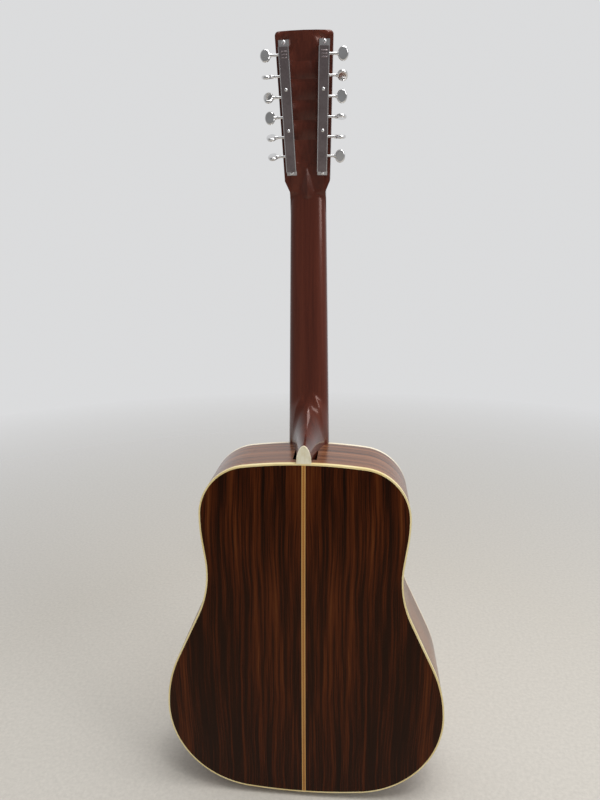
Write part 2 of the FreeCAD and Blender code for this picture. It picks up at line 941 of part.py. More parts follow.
def fret(number):
    """One fret: a rounded crown on the fingerboard and a tang let into it."""
    z = fret_height(number)
    low = z - fret_tang_width / 2
    floor_y = board_top_y - fret_tang_depth - radius_drop(board_half_width(z))
    tang = board_arch(board_top_y, floor_y, low, low + fret_tang_width)
    axis = V(0, board_top_y - board_radius, low)
    tang = tang.cut(Part.makeCylinder(board_radius - fret_tang_depth, fret_tang_width, axis))
    half = fret_crown_width / 2
    crown_edges = [
        Part.LineSegment(V(0, board_top_y, z - half), V(0, board_top_y, z + half)).toShape(),
        Part.Arc(V(0, board_top_y, z + half), V(0, crown_y, z), V(0, board_top_y, z - half)).toShape(),
    ]
    sweep = degrees(asin((board_half_width(z) + fret_crown_width) / board_radius))
    profile = Part.Face(Part.Wire(crown_edges))
    profile.rotate(axis, V(0, 0, 1), -sweep)
    crown = profile.revolve(axis, V(0, 0, 1), 2 * sweep)
    return crown.fuse(tang).common(board_wedge(top_y, crown_y + 1)).removeSplitter()


def dots():
    """Round markers in the face of the fingerboard, and small ones in its bass edge."""
    face = []
    edge = []
    for number in dot_frets:
        z = (fret_height(number) + fret_height(number - 1)) / 2
        double = number == double_dot_fret
        for x in (-double_dot_spacing / 2, double_dot_spacing / 2) if double else (0,):
            foot = V(x, board_top_y - dot_depth - radius_drop(x), z)
            peg = Part.makeCylinder(dot_radius, board_thickness, foot, V(0, 1, 0))
            face.append(peg.common(board_arch(board_top_y, top_y, z - dot_radius * 2, z + dot_radius * 2)))
        start = V(board_half_width(z) - side_dot_depth, top_y + side_dot_height, z)
        pin = Part.makeCylinder(side_dot_radius, side_dot_depth * 2, start, V(1, 0, 0))
        edge.append(pin.common(board_wedge(top_y, board_top_y)))
    return face + edge


def fingerboard(frets, markers):
    board = board_arch(board_top_y, top_y, board_end_z, nut_z).common(board_wedge(top_y, board_top_y + 1))
    for piece in frets + markers:
        board = board.cut(piece)
    return board


# Strings, nut, saddle, bridge and pins


def string_x(index, course_spacing, pair_spacing):
    """Place of a string across the neck, counted from the bass side."""
    course, second = divmod(index, 2)
    middle = (2.5 - course) * course_spacing
    return middle + (0.5 - second) * pair_spacing


def string_radius(index):
    return string_diameters[index] / 2


def saddle_crest_y(x):
    return crown_y + 2 * octave_fret_action - first_fret_action - radius_drop(x)


def pin_z(index):
    """The two pins of a course stand one behind the other."""
    return saddle_z - pin_row_setback - pin_row_spacing * (index % 2)


def pin_x(index):
    return string_x(index, saddle_course_spacing, pin_pair_spacing)


def string_drop_z(index):
    """Where a string goes down through the bridge, just in front of its pin."""
    return pin_z(index) + pin_head_radius + string_radius(index) + string_lift


def bridge_front_z():
    return saddle_z + bridge_front_margin


def bridge_back_z():
    return saddle_z - pin_row_setback - pin_row_spacing - bridge_back_margin


def bridge_top_y():
    return top_y + bridge_thickness


def pin(index):
    """A tapered peg with a round head, standing in the bridge."""
    top = bridge_top_y()
    start = V(pin_x(index), top, pin_z(index))
    shank = Part.makeCone(pin_top_radius, pin_end_radius, pin_length, start, V(0, -1, 0))
    collar = Part.makeCylinder(pin_head_radius, pin_collar_height, start, V(0, 1, 0))
    knob_foot = start + V(0, pin_collar_height, 0)
    knob = round_knob(knob_foot, pin_knob_radius, pin_head_height - pin_collar_height, V(0, 1, 0))
    return collar.fuse(knob).fuse(shank)


def round_knob(base, radius, height, axis):
    """A low round dome."""
    curve_radius = (radius ** 2 + height ** 2) / (2 * height)
    ball = Part.makeSphere(curve_radius, base - axis * (curve_radius - height))
    return ball.common(Part.makeCylinder(radius, height, base, axis))


def pin_slot(index):
    """The narrow way in front of a pin that its string goes down."""
    half = string_slot_width / 2
    x = pin_x(index)
    far_side = string_drop_z(index) + half
    low = inner_top_y - bridge_plate_thickness - 1
    return box(x - half, x + half, low, bridge_top_y() + 1, pin_z(index), far_side)


def pin_holes():
    """What the pins and their strings take out of the bridge, the soundboard and the plate."""
    taken = []
    for index in range(len(string_diameters)):
        top = V(pin_x(index), bridge_top_y(), pin_z(index))
        taken.append(Part.makeCone(pin_top_radius, pin_end_radius, pin_length, top, V(0, -1, 0)))
        taken.append(pin_slot(index))
    shape = taken[0]
    return shape.fuse(taken[1:])


def saddle_blank():
    half = saddle_length / 2
    low = bridge_top_y() - saddle_slot_depth
    z0 = saddle_z - saddle_thickness / 2
    return box(-half, half, low, saddle_crest_y(0) + 1, z0, z0 + saddle_thickness)


def saddle():
    """A bone bar whose crest follows the fingerboard's radius."""
    rise = saddle_crest_y(0) - board_top_y
    z0 = saddle_z - saddle_thickness / 2
    arch = Part.makeCylinder(board_radius + rise, saddle_thickness, V(0, board_top_y - board_radius, z0))
    blank = saddle_blank().common(arch)
    above = [edge for edge in blank.Edges if edge.BoundBox.YMin > bridge_top_y()]
    crest = [edge for edge in above if edge.BoundBox.XLength > saddle_length / 2]
    return blank.makeFillet(saddle_edge_radius, crest)


def bridge():
    """A belly bridge: thick in the middle, with thin wings and a rounded back edge."""
    front = bridge_front_z()
    back = bridge_back_z()
    half = bridge_width / 2
    belly = bridge_belly_width / 2
    corners = [V(-belly, top_y, back), V(-half, top_y, back), V(-half, top_y, front)]
    corners += [V(half, top_y, front), V(half, top_y, back), V(belly, top_y, back)]
    edges = [Part.LineSegment(a, b).toShape() for a, b in zip(corners, corners[1:])]
    edges.append(Part.Arc(corners[-1], V(0, top_y, back - bridge_belly), corners[0]).toShape())
    plan = Part.Face(Part.Wire(edges)).extrude(V(0, bridge_thickness, 0))
    ends = []
    for edge in plan.Edges:
        middle = edge.BoundBox.Center
        if edge.BoundBox.YLength > bridge_thickness / 2 and abs(abs(middle.x) - half) < 1e-3:
            ends.append(edge)
    plan = plan.makeFillet(bridge_corner_radius, ends)
    middle = bridge_center_width / 2
    top = bridge_top_y()
    wing_top = top_y + bridge_wing_thickness
    profile = [
        (-half, top_y),
        (half, top_y),
        (half, wing_top),
        (middle + bridge_wing_run, wing_top),
        (middle, top),
        (-middle, top),
        (-middle - bridge_wing_run, wing_top),
        (-half, wing_top),
    ]
    low = back - bridge_belly - 1
    section = Part.Face(polygon([V(x, y, low) for x, y in profile])).extrude(V(0, 0, front - low + 1))
    return plan.common(section).cut(saddle_blank()).cut(pin_holes())


def nut(strings):
    """A bone bar on the end of the fingerboard, notched by its strings."""
    low = board_half_width(nut_z + nut_thickness)
    rise = crown_y + first_fret_action + nut_rise - board_top_y
    radius = board_radius + rise
    arch = Part.makeCylinder(radius, nut_thickness, V(0, board_top_y - board_radius, nut_z))
    blank = box(-low, low, top_y, board_top_y + rise, nut_z, nut_z + nut_thickness).common(arch)
    for string in strings:
        blank = blank.cut(string)
    return max(blank.Solids, key=lambda solid: solid.Volume)


def post_of_string(index):
    """Side and number of a string's post: the outer strings go to the lowest posts."""
    if index < tuners_per_side:
        return 1, index
    return -1, 2 * tuners_per_side - 1 - index


def string_path(index):
    """Edges of a string from its ball end, over saddle and nut, to the winding on its post."""
    radius = string_radius(index)
    x_saddle = string_x(index, saddle_course_spacing, saddle_pair_spacing)
    x_nut = string_x(index, nut_course_spacing, nut_pair_spacing)
    drop_z = string_drop_z(index)
    ball_y = inner_top_y - bridge_plate_thickness - ball_end_radius - ball_end_clearance
    start = V(pin_x(index), ball_y, drop_z)
    mouth = V(pin_x(index), bridge_top_y() + string_bend_radius + string_lift, drop_z)
    crest = V(x_saddle, saddle_crest_y(x_saddle) + radius + string_contact, saddle_z)
    nut_y = crown_y + first_fret_action - radius_drop(x_nut) + radius
    over_nut = V(x_nut, nut_y, nut_z + nut_thickness / 2)
    side, number = post_of_string(index)
    height = winding_height + winding_height_step * number
    center = post_places(side)[number] + head_normal * height
    coil_radius = post_radius + winding_clearance + radius
    touch = tangent_point(over_nut, center, coil_radius, side)
    points = [start, mouth, crest, over_nut, touch]
    edges, last = rounded_run(points, (string_bend_radius, string_crest_radius, string_crest_radius))
    turns = wound_turns if index in wound_strings else plain_turns
    edges += winding(last, touch, center, side, turns, 2 * radius + winding_gap)
    return edges


def tangent_point(origin, center, radius, side):
    """Where a line from origin touches the winding's circle, on the post's inner side."""
    offset = origin - center
    flat = offset - head_normal * offset.dot(head_normal)
    distance = flat.Length
    flat.normalize()
    swing = acos(radius / distance)
    turned = head_normal.cross(flat)
    return center + (flat * cos(swing) + turned * (sin(swing) * side)) * radius


def rounded_run(points, bends):
    """Straight runs joined by tangent arcs. Gives the edges and the direction at the end."""
    edges = []
    position = points[0]
    for before, corner, after, bend in zip(points, points[1:], points[2:], bends):
        arriving = corner - before
        leaving = after - corner
        arriving.normalize()
        leaving.normalize()
        turn = acos(max(-1.0, min(1.0, arriving.dot(leaving))))
        leg = bend * tan(turn / 2)
        entry = corner - arriving * leg
        leave = corner + leaving * leg
        edges.append(Part.LineSegment(position, entry).toShape())
        edges.append(tangent_arc(entry, corner, leave))
        position = leave
    edges.append(Part.LineSegment(position, points[-1]).toShape())
    return edges, (points[-1] - position).normalize()


def winding(direction, start, center, side, turns, pitch):
    """Turns of a string down its post, as pairs of arcs of a quarter turn, with a straight end."""
    spoke = start - center
    spoke = spoke - head_normal * spoke.dot(head_normal)
    radius = spoke.Length
    spoke.normalize()
    ahead = head_normal.cross(spoke) * side
    base = center + head_normal * (start - center).dot(head_normal)
    edges = []
    position = start
    for quarter in range(1, 4 * turns + 1):
        angle = quarter * pi / 2
        out = spoke * cos(angle) + ahead * sin(angle)
        onward = (ahead * cos(angle) - spoke * sin(angle)) * radius - head_normal * (pitch / (2 * pi))
        onward.normalize()
        following = base + out * radius - head_normal * (pitch * quarter / 4)
        edges += biarc(position, direction, following, onward)
        position = following
        direction = onward
    tail = position + direction * (pitch - winding_gap)
    edges.append(Part.LineSegment(position, tail).toShape())
    return edges


def string(index):
    """One string with the small brass cylinder on its end."""
    edges = string_path(index)
    start = edges[0].Vertexes[0].Point
    wire = tube(edges, string_radius(index), V(0, 1, 0))
    half = ball_end_length / 2
    ball = Part.makeCylinder(ball_end_radius, ball_end_length, start - V(half, 0, 0), V(1, 0, 0))
    return wire.fuse(ball)


def winding_gap_measured(index):
    """Least gap of a string's winding to itself, from points on its path."""
    length = pi * post_radius
    points = []
    for edge in string_path(index)[-(2 * 4 * plain_turns + 1):]:
        points += edge.discretize(12)[:-1]
    least = far
    for i, a in enumerate(points):
        travelled = 0
        for previous, b in zip(points[i:], points[i + 1:]):
            travelled += (b - previous).Length
            if travelled > length:
                least = min(least, (b - a).Length)
    return least - 2 * string_radius(index)


# Tuning machines


def strip_axes(side):
    """Directions along a tuner plate and outward across it, and a point of its centre line."""
    along = head_axis * cos(head_edge_angle) + V(side * sin(head_edge_angle), 0, 0)
    outward = V(side * cos(head_edge_angle), 0, 0) - head_axis * sin(head_edge_angle)
    inset = (plate_edge_margin + plate_width / 2) / cos(head_edge_angle)
    foot = head_point(side * (head_half_width(0) - inset), 0, 0)
    return along, outward, foot


def strip_point(side, along, out, normal):
    """A point on a tuner plate: along it, outward across it, and out from the headstock's front."""
    direction, outward, foot = strip_axes(side)
    return foot + direction * (along / cos(head_edge_angle)) + outward * out + head_normal * normal


def strip_box(side, along0, along1, out0, out1, normal0, normal1):
    corners = [
        strip_point(side, a, o, normal0)
        for a, o in ((along0, out0), (along1, out0), (along1, out1), (along0, out1))
    ]
    return Part.Face(polygon(corners)).extrude(head_normal * (normal1 - normal0))


gear_pitch_radius = gear_teeth * gear_module / 2
thread_pitch = pi * gear_module
tooth_half = (thread_pitch - mesh_backlash) / 2
center_distance = gear_pitch_radius + worm_pitch_radius
gear_tip_radius = gear_pitch_radius + thread_addendum
worm_tip_radius = worm_pitch_radius + thread_addendum
gear_root_radius = center_distance - worm_tip_radius - mesh_root_gap
worm_core_radius = center_distance - gear_tip_radius - mesh_root_gap
plate_floor = -head_thickness - plate_wall
worm_level = plate_floor - worm_axis_height
lid_inner = worm_level - worm_tip_radius - worm_room
lid_outer = lid_inner - cover_thickness
rail_top = lid_outer - rail_rise
channel_half = plate_width / 2 - plate_wall


def worm_places():
    return [first_worm + worm_pitch_along_head * i for i in range(tuners_per_side)]


def post_places(side):
    """Centres of the posts on the headstock's front face, from the nut up."""
    drop = center_distance * cos(head_edge_angle)
    return [strip_point(side, place - drop, post_outset, 0) for place in worm_places()]


def base_plate(side):
    """A long plate with a raised rail on each edge, which carries the shafts and the posts."""
    half = plate_width / 2
    plate = strip_box(side, plate_start, plate_end, -half, half, -head_thickness, plate_floor)
    for low, high in ((-half, -channel_half), (channel_half, half)):
        plate = plate.fuse(strip_box(side, cover_start, cover_end, low, high, plate_floor, rail_top))
    for place in cover_screw_places:
        foot = strip_point(side, place, 0, plate_floor)
        plate = plate.fuse(Part.makeCylinder(boss_radius, plate_floor - lid_inner, foot, head_normal * -1))
    outward = strip_axes(side)[1]
    for place in worm_places():
        inner = strip_point(side, place, -half - 1, worm_level)
        middle = strip_point(side, place, 0, worm_level)
        plate = plate.cut(Part.makeCylinder(stub_radius + bearing_clearance, half + 1, inner, outward))
        plate = plate.cut(Part.makeCylinder(shaft_radius + bearing_clearance, half + 1, middle, outward))
    for post in post_places(side):
        start = post + head_normal * (plate_floor - 1)
        hole = Part.makeCylinder(post_radius + bearing_clearance, plate_wall + 2, start, head_normal)
        plate = plate.cut(hole)
    for screw in plate_screws() + cover_screws():
        plate = plate.cut(screw)
    return plate.removeSplitter()


def cover(side):
    """The lid between the rails, with an end wall at each end."""
    half = channel_half
    lid = strip_box(side, cover_start, cover_end, -half, half, lid_inner, lid_outer)
    for place in (cover_start, cover_end - cover_thickness):
        lid = lid.fuse(strip_box(side, place, place + cover_thickness, -half, half, plate_floor, lid_inner))
    for screw in cover_screws():
        lid = lid.cut(screw)
    return lid.removeSplitter()


def screw(head_place, head_radius, shank_length):
    """A domed screw that goes into the headstock from behind."""
    shank = Part.makeCylinder(screw_shank_radius, shank_length, head_place, head_normal)
    knob = round_knob(head_place, head_radius, screw_head_height, head_normal * -1)
    slot = Part.makeBox(head_radius * 2, screw_slot_width, screw_head_height)
    slot.translate(V(-head_radius, -screw_slot_width / 2, screw_head_height - screw_slot_depth))
    slot.Placement = placement(head_place, V(1, 0, 0), head_normal * -1).multiply(slot.Placement)
    return knob.cut(slot).fuse(shank)


def cover_screws():
    screws = []
    length = plate_floor - lid_outer
    for side in (1, -1):
        for place in cover_screw_places:
            head_place = strip_point(side, place, 0, lid_outer)
            screws.append(screw(head_place, cover_screw_head_radius, length))
    return screws


def plate_screws():
    screws = []
    for side in (1, -1):
        for place in (plate_start + plate_screw_margin, plate_end - plate_screw_margin):
            head_place = strip_point(side, place, 0, plate_floor)
            screws.append(screw(head_place, plate_screw_head_radius, plate_screw_length))
    return screws


def placement(origin, x_axis, z_axis):
    """A frame from its origin, its X direction and its Z direction."""
    y_axis = z_axis.cross(x_axis)
    matrix = FreeCAD.Matrix(
        x_axis.x, y_axis.x, z_axis.x, origin.x,
        x_axis.y, y_axis.y, z_axis.y, origin.y,
        x_axis.z, y_axis.z, z_axis.z, origin.z,
    )
    return FreeCAD.Placement(matrix)


def placed(shape, frame):
    copy = shape.copy()
    copy.Placement = frame
    return copy


def worm_thread():
    """The raised thread of a worm, on the Z axis. Its middle crest lies on the gear's side, in a tooth gap."""
    height = thread_turns * thread_pitch
    root = worm_core_radius - thread_sink
    tip = worm_tip_radius
    root_half = tooth_half * thread_root_share
    tip_half = tooth_half * thread_tip_share
    path = Part.makeHelix(thread_pitch, height, worm_pitch_radius)
    corners = [V(root, 0, -root_half), V(tip, 0, -tip_half), V(tip, 0, tip_half), V(root, 0, root_half)]
    thread = Part.Wire(path).makePipeShell([polygon(corners)], True, True)
    thread.rotate(V(0, 0, 0), V(0, 0, 1), -thread_turns / 2 * 360)
    thread.translate(V(0, 0, post_outset - height / 2))
    return thread


def worm_shaft():
    """Worm, shaft and inner stub in one piece. The shaft runs out along Z, the gear is towards X."""
    inside = channel_half - end_float
    wall_out = plate_width / 2
    reach = wall_out + button_reach
    core = Part.makeCylinder(worm_core_radius, 2 * inside, V(0, 0, -inside))
    stub = Part.makeCylinder(stub_radius, wall_out, V(0, 0, -wall_out))
    outer_start = inside - worm_collar_length
    outer = Part.makeCylinder(shaft_radius, reach - outer_start, V(0, 0, outer_start))
    inner_collar = Part.makeCylinder(shaft_radius, worm_collar_length, V(0, 0, -inside))
    return core.fuse(worm_thread()).fuse([stub, outer, inner_collar])


def button(turn):
    """A flat oval with rounded edges and a collar. It faces the back before it is turned about its shaft."""
    center = plate_width / 2 + button_reach
    long_half = button_width / 2
    short_half = button_length / 2
    oval = Part.Ellipse(V(0, 0, 0), long_half, short_half).toShape()
    body = Part.Face(Part.Wire(oval)).extrude(V(0, 0, button_thickness))
    rims = [edge for edge in body.Edges if edge.BoundBox.ZLength < 1e-6]
    body = body.makeFillet(button_edge_radius, rims)
    body.Placement = placement(V(0, button_thickness / 2, center), V(1, 0, 0), V(0, -1, 0))
    foot = V(0, 0, center - short_half - button_collar_length + button_collar_sink)
    collar = Part.makeCone(button_collar_foot_radius, button_collar_radius, button_collar_length, foot)
    bore = Part.makeCylinder(shaft_radius, center, V(0, 0, 0))
    solid = body.fuse(collar).cut(bore)
    solid.rotate(V(0, 0, 0), V(0, 0, 1), turn)
    return solid


def gear():
    """The wheel on a post's lower end. Z is the post's axis, X points to the worm."""
    wheel = Part.makeCylinder(gear_root_radius, gear_width, V(0, 0, -gear_width / 2))
    slant = worm_lead_slope()
    root_half = tooth_half * tooth_root_share
    tip_half = tooth_half * tooth_tip_share
    start = -gear_width / 2
    teeth = []
    root = gear_root_radius - tooth_sink
    corners = [(root, -root_half), (gear_tip_radius, -tip_half), (gear_tip_radius, tip_half), (root, root_half)]
    face = Part.Face(polygon([V(x, y + start * slant, start) for x, y in corners]))
    shape = face.extrude(V(0, slant * gear_width, gear_width))
    for number in range(gear_teeth):
        copy = shape.copy()
        copy.rotate(V(0, 0, 0), V(0, 0, 1), (number + 0.5) * 360 / gear_teeth)
        teeth.append(copy)
    return wheel.fuse(teeth)


def worm_lead_slope():
    """How far the thread moves along the worm for each unit round it."""
    return thread_pitch / (2 * pi * worm_pitch_radius)


def post_with_gear():
    """A string post on the Z axis, from its gear and gear screw to its cross hole and rounded top."""
    low = worm_level - gear_width / 2
    stem_low = plate_floor - end_float
    stem = Part.makeCylinder(post_radius, post_height - stem_low, V(0, 0, stem_low))
    top_edge = [edge for edge in stem.Edges if edge.BoundBox.ZMin > post_height - 1e-3]
    stem = stem.makeFillet(post_edge_radius, top_edge)
    hub = Part.makeCylinder(gear_hub_radius, stem_low - low, V(0, 0, low))
    wheel = gear()
    wheel.translate(V(0, 0, worm_level))
    screw_head = Part.makeCylinder(gear_screw_radius, gear_screw_height, V(0, 0, low - gear_screw_height))
    hole_start = V(-post_radius * 2, 0, post_hole_height)
    hole = Part.makeCylinder(post_hole_radius, post_radius * 4, hole_start, V(1, 0, 0))
    return stem.cut(hole).fuse([hub, wheel, screw_head])


def post_frame(side, number):
    direction = strip_axes(side)[0]
    return placement(post_places(side)[number], direction, head_normal)


def worm_frame(side, number):
    direction, outward = strip_axes(side)[:2]
    middle = strip_point(side, worm_places()[number], 0, worm_level)
    return placement(middle, direction * -1, outward)


def bushing(place):
    """A flanged sleeve that guides a post through the headstock's face."""
    outer = Part.makeCylinder(bushing_radius, bushing_length, place - head_normal * bushing_length, head_normal)
    flange = Part.makeCylinder(bushing_flange_radius, bushing_flange_height, place, head_normal)
    top_rim = max(flange.Edges, key=lambda edge: (edge.BoundBox.Center - place).dot(head_normal))
    flange = flange.makeFillet(bushing_edge_radius, [top_rim])
    start = place - head_normal * (bushing_length + 1)
    length = bushing_length + bushing_flange_height + 2
    bore = Part.makeCylinder(post_radius + bearing_clearance, length, start, head_normal)
    return outer.fuse(flange).cut(bore)


# End pin


def end_pin():
    """The turned pin in the tail: head, neck and a tapered shank in the end block."""
    neck_low = -end_pin_neck_length
    head_low = neck_low - end_pin_head_length
    shank = Part.makeCone(end_pin_shank_radius, end_pin_tip_radius, end_pin_shank_length, V(0, 0, 0))
    neck = Part.makeCylinder(end_pin_neck_radius, end_pin_neck_length, V(0, 0, neck_low))
    head = Part.makeCylinder(end_pin_head_radius, end_pin_head_length, V(0, 0, head_low))
    knob = round_knob(V(0, 0, head_low), end_pin_head_radius, end_pin_dome, V(0, 0, -1))
    return shank.fuse([neck, head, knob])


# Every node and its shape


def build():
    nodes = {}
    nodes["soundboard"] = soundboard()
    nodes["rosette"] = group(rosette_rings())
    nodes["pickguard"] = pickguard()
    nodes["x_braces"] = group(x_brace_pair())
    nodes["tone_bars"] = group(tone_bars())
    nodes["soundhole_braces"] = group(soundhole_braces())
    nodes["bridge_plate"] = bridge_plate()
    nodes["back_plate_bass"], nodes["back_plate_treble"], nodes["back_center_strip"] = back_plates()
    nodes["back_seam_strip"] = group(seam_strip().Solids)
    nodes["back_braces"] = group(back_braces())
    nodes["side_bass"], nodes["side_treble"] = sides()
    nodes["bindings"] = group(bindings())
    nodes["linings"] = group(linings())
    nodes["neck_block"] = neck_block()
    nodes["end_block"] = end_block()
    nodes["end_pin"] = end_pin()
    nodes["neck"], nodes["heel_cap"] = neck_and_cap()
    nodes["truss_rod"] = truss_rod()
    nodes["headstock_veneer"] = headstock_veneer()
    frets = [fret(number) for number in range(1, fret_count + 1)]
    markers = dots()
    nodes["fingerboard"] = fingerboard(frets, markers)
    nodes["frets"] = group(frets)
    nodes["position_dots"] = group(markers)
    strings = [string(index) for index in range(len(string_diameters))]
    nodes["wound_strings"] = group([strings[i] for i in wound_strings])
    nodes["plain_strings"] = group([s for i, s in enumerate(strings) if i not in wound_strings])
    nodes["nut"] = nut(strings)
    nodes["saddle"] = saddle()
    nodes["bridge"] = bridge()
    nodes["bridge_pins"] = group([pin(index) for index in range(len(string_diameters))])
    nodes["tuner_base_plates"] = group([base_plate(1), base_plate(-1)])
    nodes["tuner_covers"] = group([cover(1), cover(-1)])
    nodes["tuner_screws"] = group(cover_screws() + plate_screws())
    nodes["post_bushings"] = group([bushing(place) for side in (1, -1) for place in post_places(side)])
    post = post_with_gear()
    shaft_shape = worm_shaft()
    for side, name, turns in ((1, "bass", bass_button_turns), (-1, "treble", treble_button_turns)):
        for number, turn in enumerate(turns):
            frame = worm_frame(side, number)
            knob = placed(group([shaft_shape, button(turn)]), frame)
            nodes[f"{name}_button_{number + 1}"] = knob
            nodes[f"{name}_post_{number + 1}"] = placed(post, post_frame(side, number))
    return nodes


def main():
    os.makedirs("parts", exist_ok=True)
    for name, shape in build().items():
        shape.exportStep(f"parts/{name}.step")
    least = min(winding_gap_measured(index) for index in range(len(string_diameters)))
    print(f"least gap of a winding to itself: {least:.2f} mm")


main()
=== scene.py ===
"""Looks of a twelve-string dreadnought guitar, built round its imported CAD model.

Units are metres. X is to the right seen from the back, Y points to the front, Z up the neck.
"""

import json
from math import atan2, cos, pi, radians, sin, sqrt, tan

import bmesh
import bpy
from mathutils import Matrix, Vector

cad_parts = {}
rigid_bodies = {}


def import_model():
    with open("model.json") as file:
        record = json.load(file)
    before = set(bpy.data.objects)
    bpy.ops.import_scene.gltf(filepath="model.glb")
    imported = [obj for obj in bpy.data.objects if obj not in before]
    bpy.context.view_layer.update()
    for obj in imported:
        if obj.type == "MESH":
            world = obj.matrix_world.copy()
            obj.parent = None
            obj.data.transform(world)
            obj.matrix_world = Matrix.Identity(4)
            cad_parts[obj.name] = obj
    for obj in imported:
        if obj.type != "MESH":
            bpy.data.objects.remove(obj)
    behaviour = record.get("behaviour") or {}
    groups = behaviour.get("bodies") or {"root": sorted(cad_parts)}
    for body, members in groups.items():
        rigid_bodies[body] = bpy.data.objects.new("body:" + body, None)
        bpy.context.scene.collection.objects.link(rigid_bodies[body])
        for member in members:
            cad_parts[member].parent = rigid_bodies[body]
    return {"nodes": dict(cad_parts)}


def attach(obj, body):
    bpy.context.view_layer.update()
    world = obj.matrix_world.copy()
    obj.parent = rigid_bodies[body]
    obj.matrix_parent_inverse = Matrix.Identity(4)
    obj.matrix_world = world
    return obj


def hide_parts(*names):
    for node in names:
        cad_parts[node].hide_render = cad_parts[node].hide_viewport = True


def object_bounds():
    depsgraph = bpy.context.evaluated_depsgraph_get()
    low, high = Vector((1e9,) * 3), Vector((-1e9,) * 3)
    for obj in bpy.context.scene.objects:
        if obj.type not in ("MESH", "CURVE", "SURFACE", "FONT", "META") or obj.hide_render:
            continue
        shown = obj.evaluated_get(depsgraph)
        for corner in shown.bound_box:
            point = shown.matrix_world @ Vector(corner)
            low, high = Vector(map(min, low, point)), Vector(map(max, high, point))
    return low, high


# Camera, at the photograph's viewing angle
camera_place = Vector((0.0719, -0.8704, 0.8011))
camera_right = Vector((0.9960, 0.0895, -0.0065))
camera_up = Vector((-0.0151, 0.2388, 0.9710))
camera_lens = 29.59
camera_sensor_width = 36.0

# Floor and light
floor_radius = 4.0
floor_points = 128
floor_fade_start = 0.7
floor_fade_end = 2.6
floor_color = (0.56, 0.53, 0.48)
world_behind_camera = 0.25
world_facing_camera = 0.72
world_color = (0.985, 0.99, 1.0)
world_turn = (-0.8, 0.5)
guitar_middle = Vector((0.0, 0.0, 0.50))

# Sizes and colours that patterns follow
lacquer_tint = (1.0, 0.50, 0.32)
neck_tint = (1.0, 0.68, 0.60)
coat_roughness = 0.05
pore_depth = 0.00004
seam_half = 0.0033
seam_gold_share = 0.45
seam_light_share = 0.80
rosette_height = 0.364
middle_ring = (0.0585, 0.0645)
ring_segments = 180

# Neck: a D-shaped section that runs into the heel below and into the headstock above
board_plane = 0.062
body_end = 0.507
nut_height = 0.8648
nut_half = 0.0238
body_half = 0.0292
nut_depth = 0.0156
body_depth = 0.0180
straight_edge = 0.0025
section_power = 2.155
heel_cap_plane = -0.0354
heel_end = -0.038
heel_end_half = 0.010
heel_waist_gain = 0.008
heel_width_reach = 0.100
heel_length = 0.0245
heel_run = 0.058
heel_curve_depth = 0.082
heel_shoulder = 0.12
heel_power = 1.85
heel_blend = 0.014
heel_blend_height = 0.030
skin_side_points = 34
skin_end_points = 8
skin_crowding = 1.6
skin_rises_low = (-0.004, 0.0, 0.003, 0.006, 0.009, 0.012, 0.014)
skin_rises_high = (0.016, 0.018, 0.020, 0.0215, 0.0227, 0.0236, 0.0242)
skin_curve_turn = 4
skin_straight_start = 0.095
skin_straight_step = 0.0125
skin_straight_rings = 19
skin_head_gap = 0.003
skin_head_margin = 0.005
skin_head_rows = 52
skin_sharp_angle = radians(38.0)
merge_distance = 0.000002
head_merge_distance = 0.000001
reach_limit = 0.14
reach_steps = 22
head_tilt = radians(15.0)
head_foot = Vector((0.0, 0.04751, 0.86092))
dart_length = 0.036
dart_tail = 0.0130
dart_half = 0.0100
dart_rise = 0.0034
dart_sink = 0.0003
dart_tip_half = 0.0004
dart_least_slope = 0.35
dart_edge_blend = 0.0009
dart_bow_power = 0.6
neck_fade_slope = 1.5
neck_to_head_blend = 0.005
skirt = 0.0015
skirt_depth = 0.0008
skin_lift = 0.00006
skin_cut = 0.8612

# Ribs and edges of the tuner covers
lid_inset = 0.01924
lid_flare = 0.03218
lid_level = 0.02328
lid_low = 0.027
lid_high = 0.172
lid_edge = 0.0060
edge_width = 0.0010
edge_height = 0.0007
rib_places = (0.1600, 0.1634, 0.1668)
rib_length = 0.0080
rib_width = 0.0019
rib_height = 0.0007
rib_sink = 0.0001
rib_steps = 12
rib_end_power = 6


# Small steps that build a material


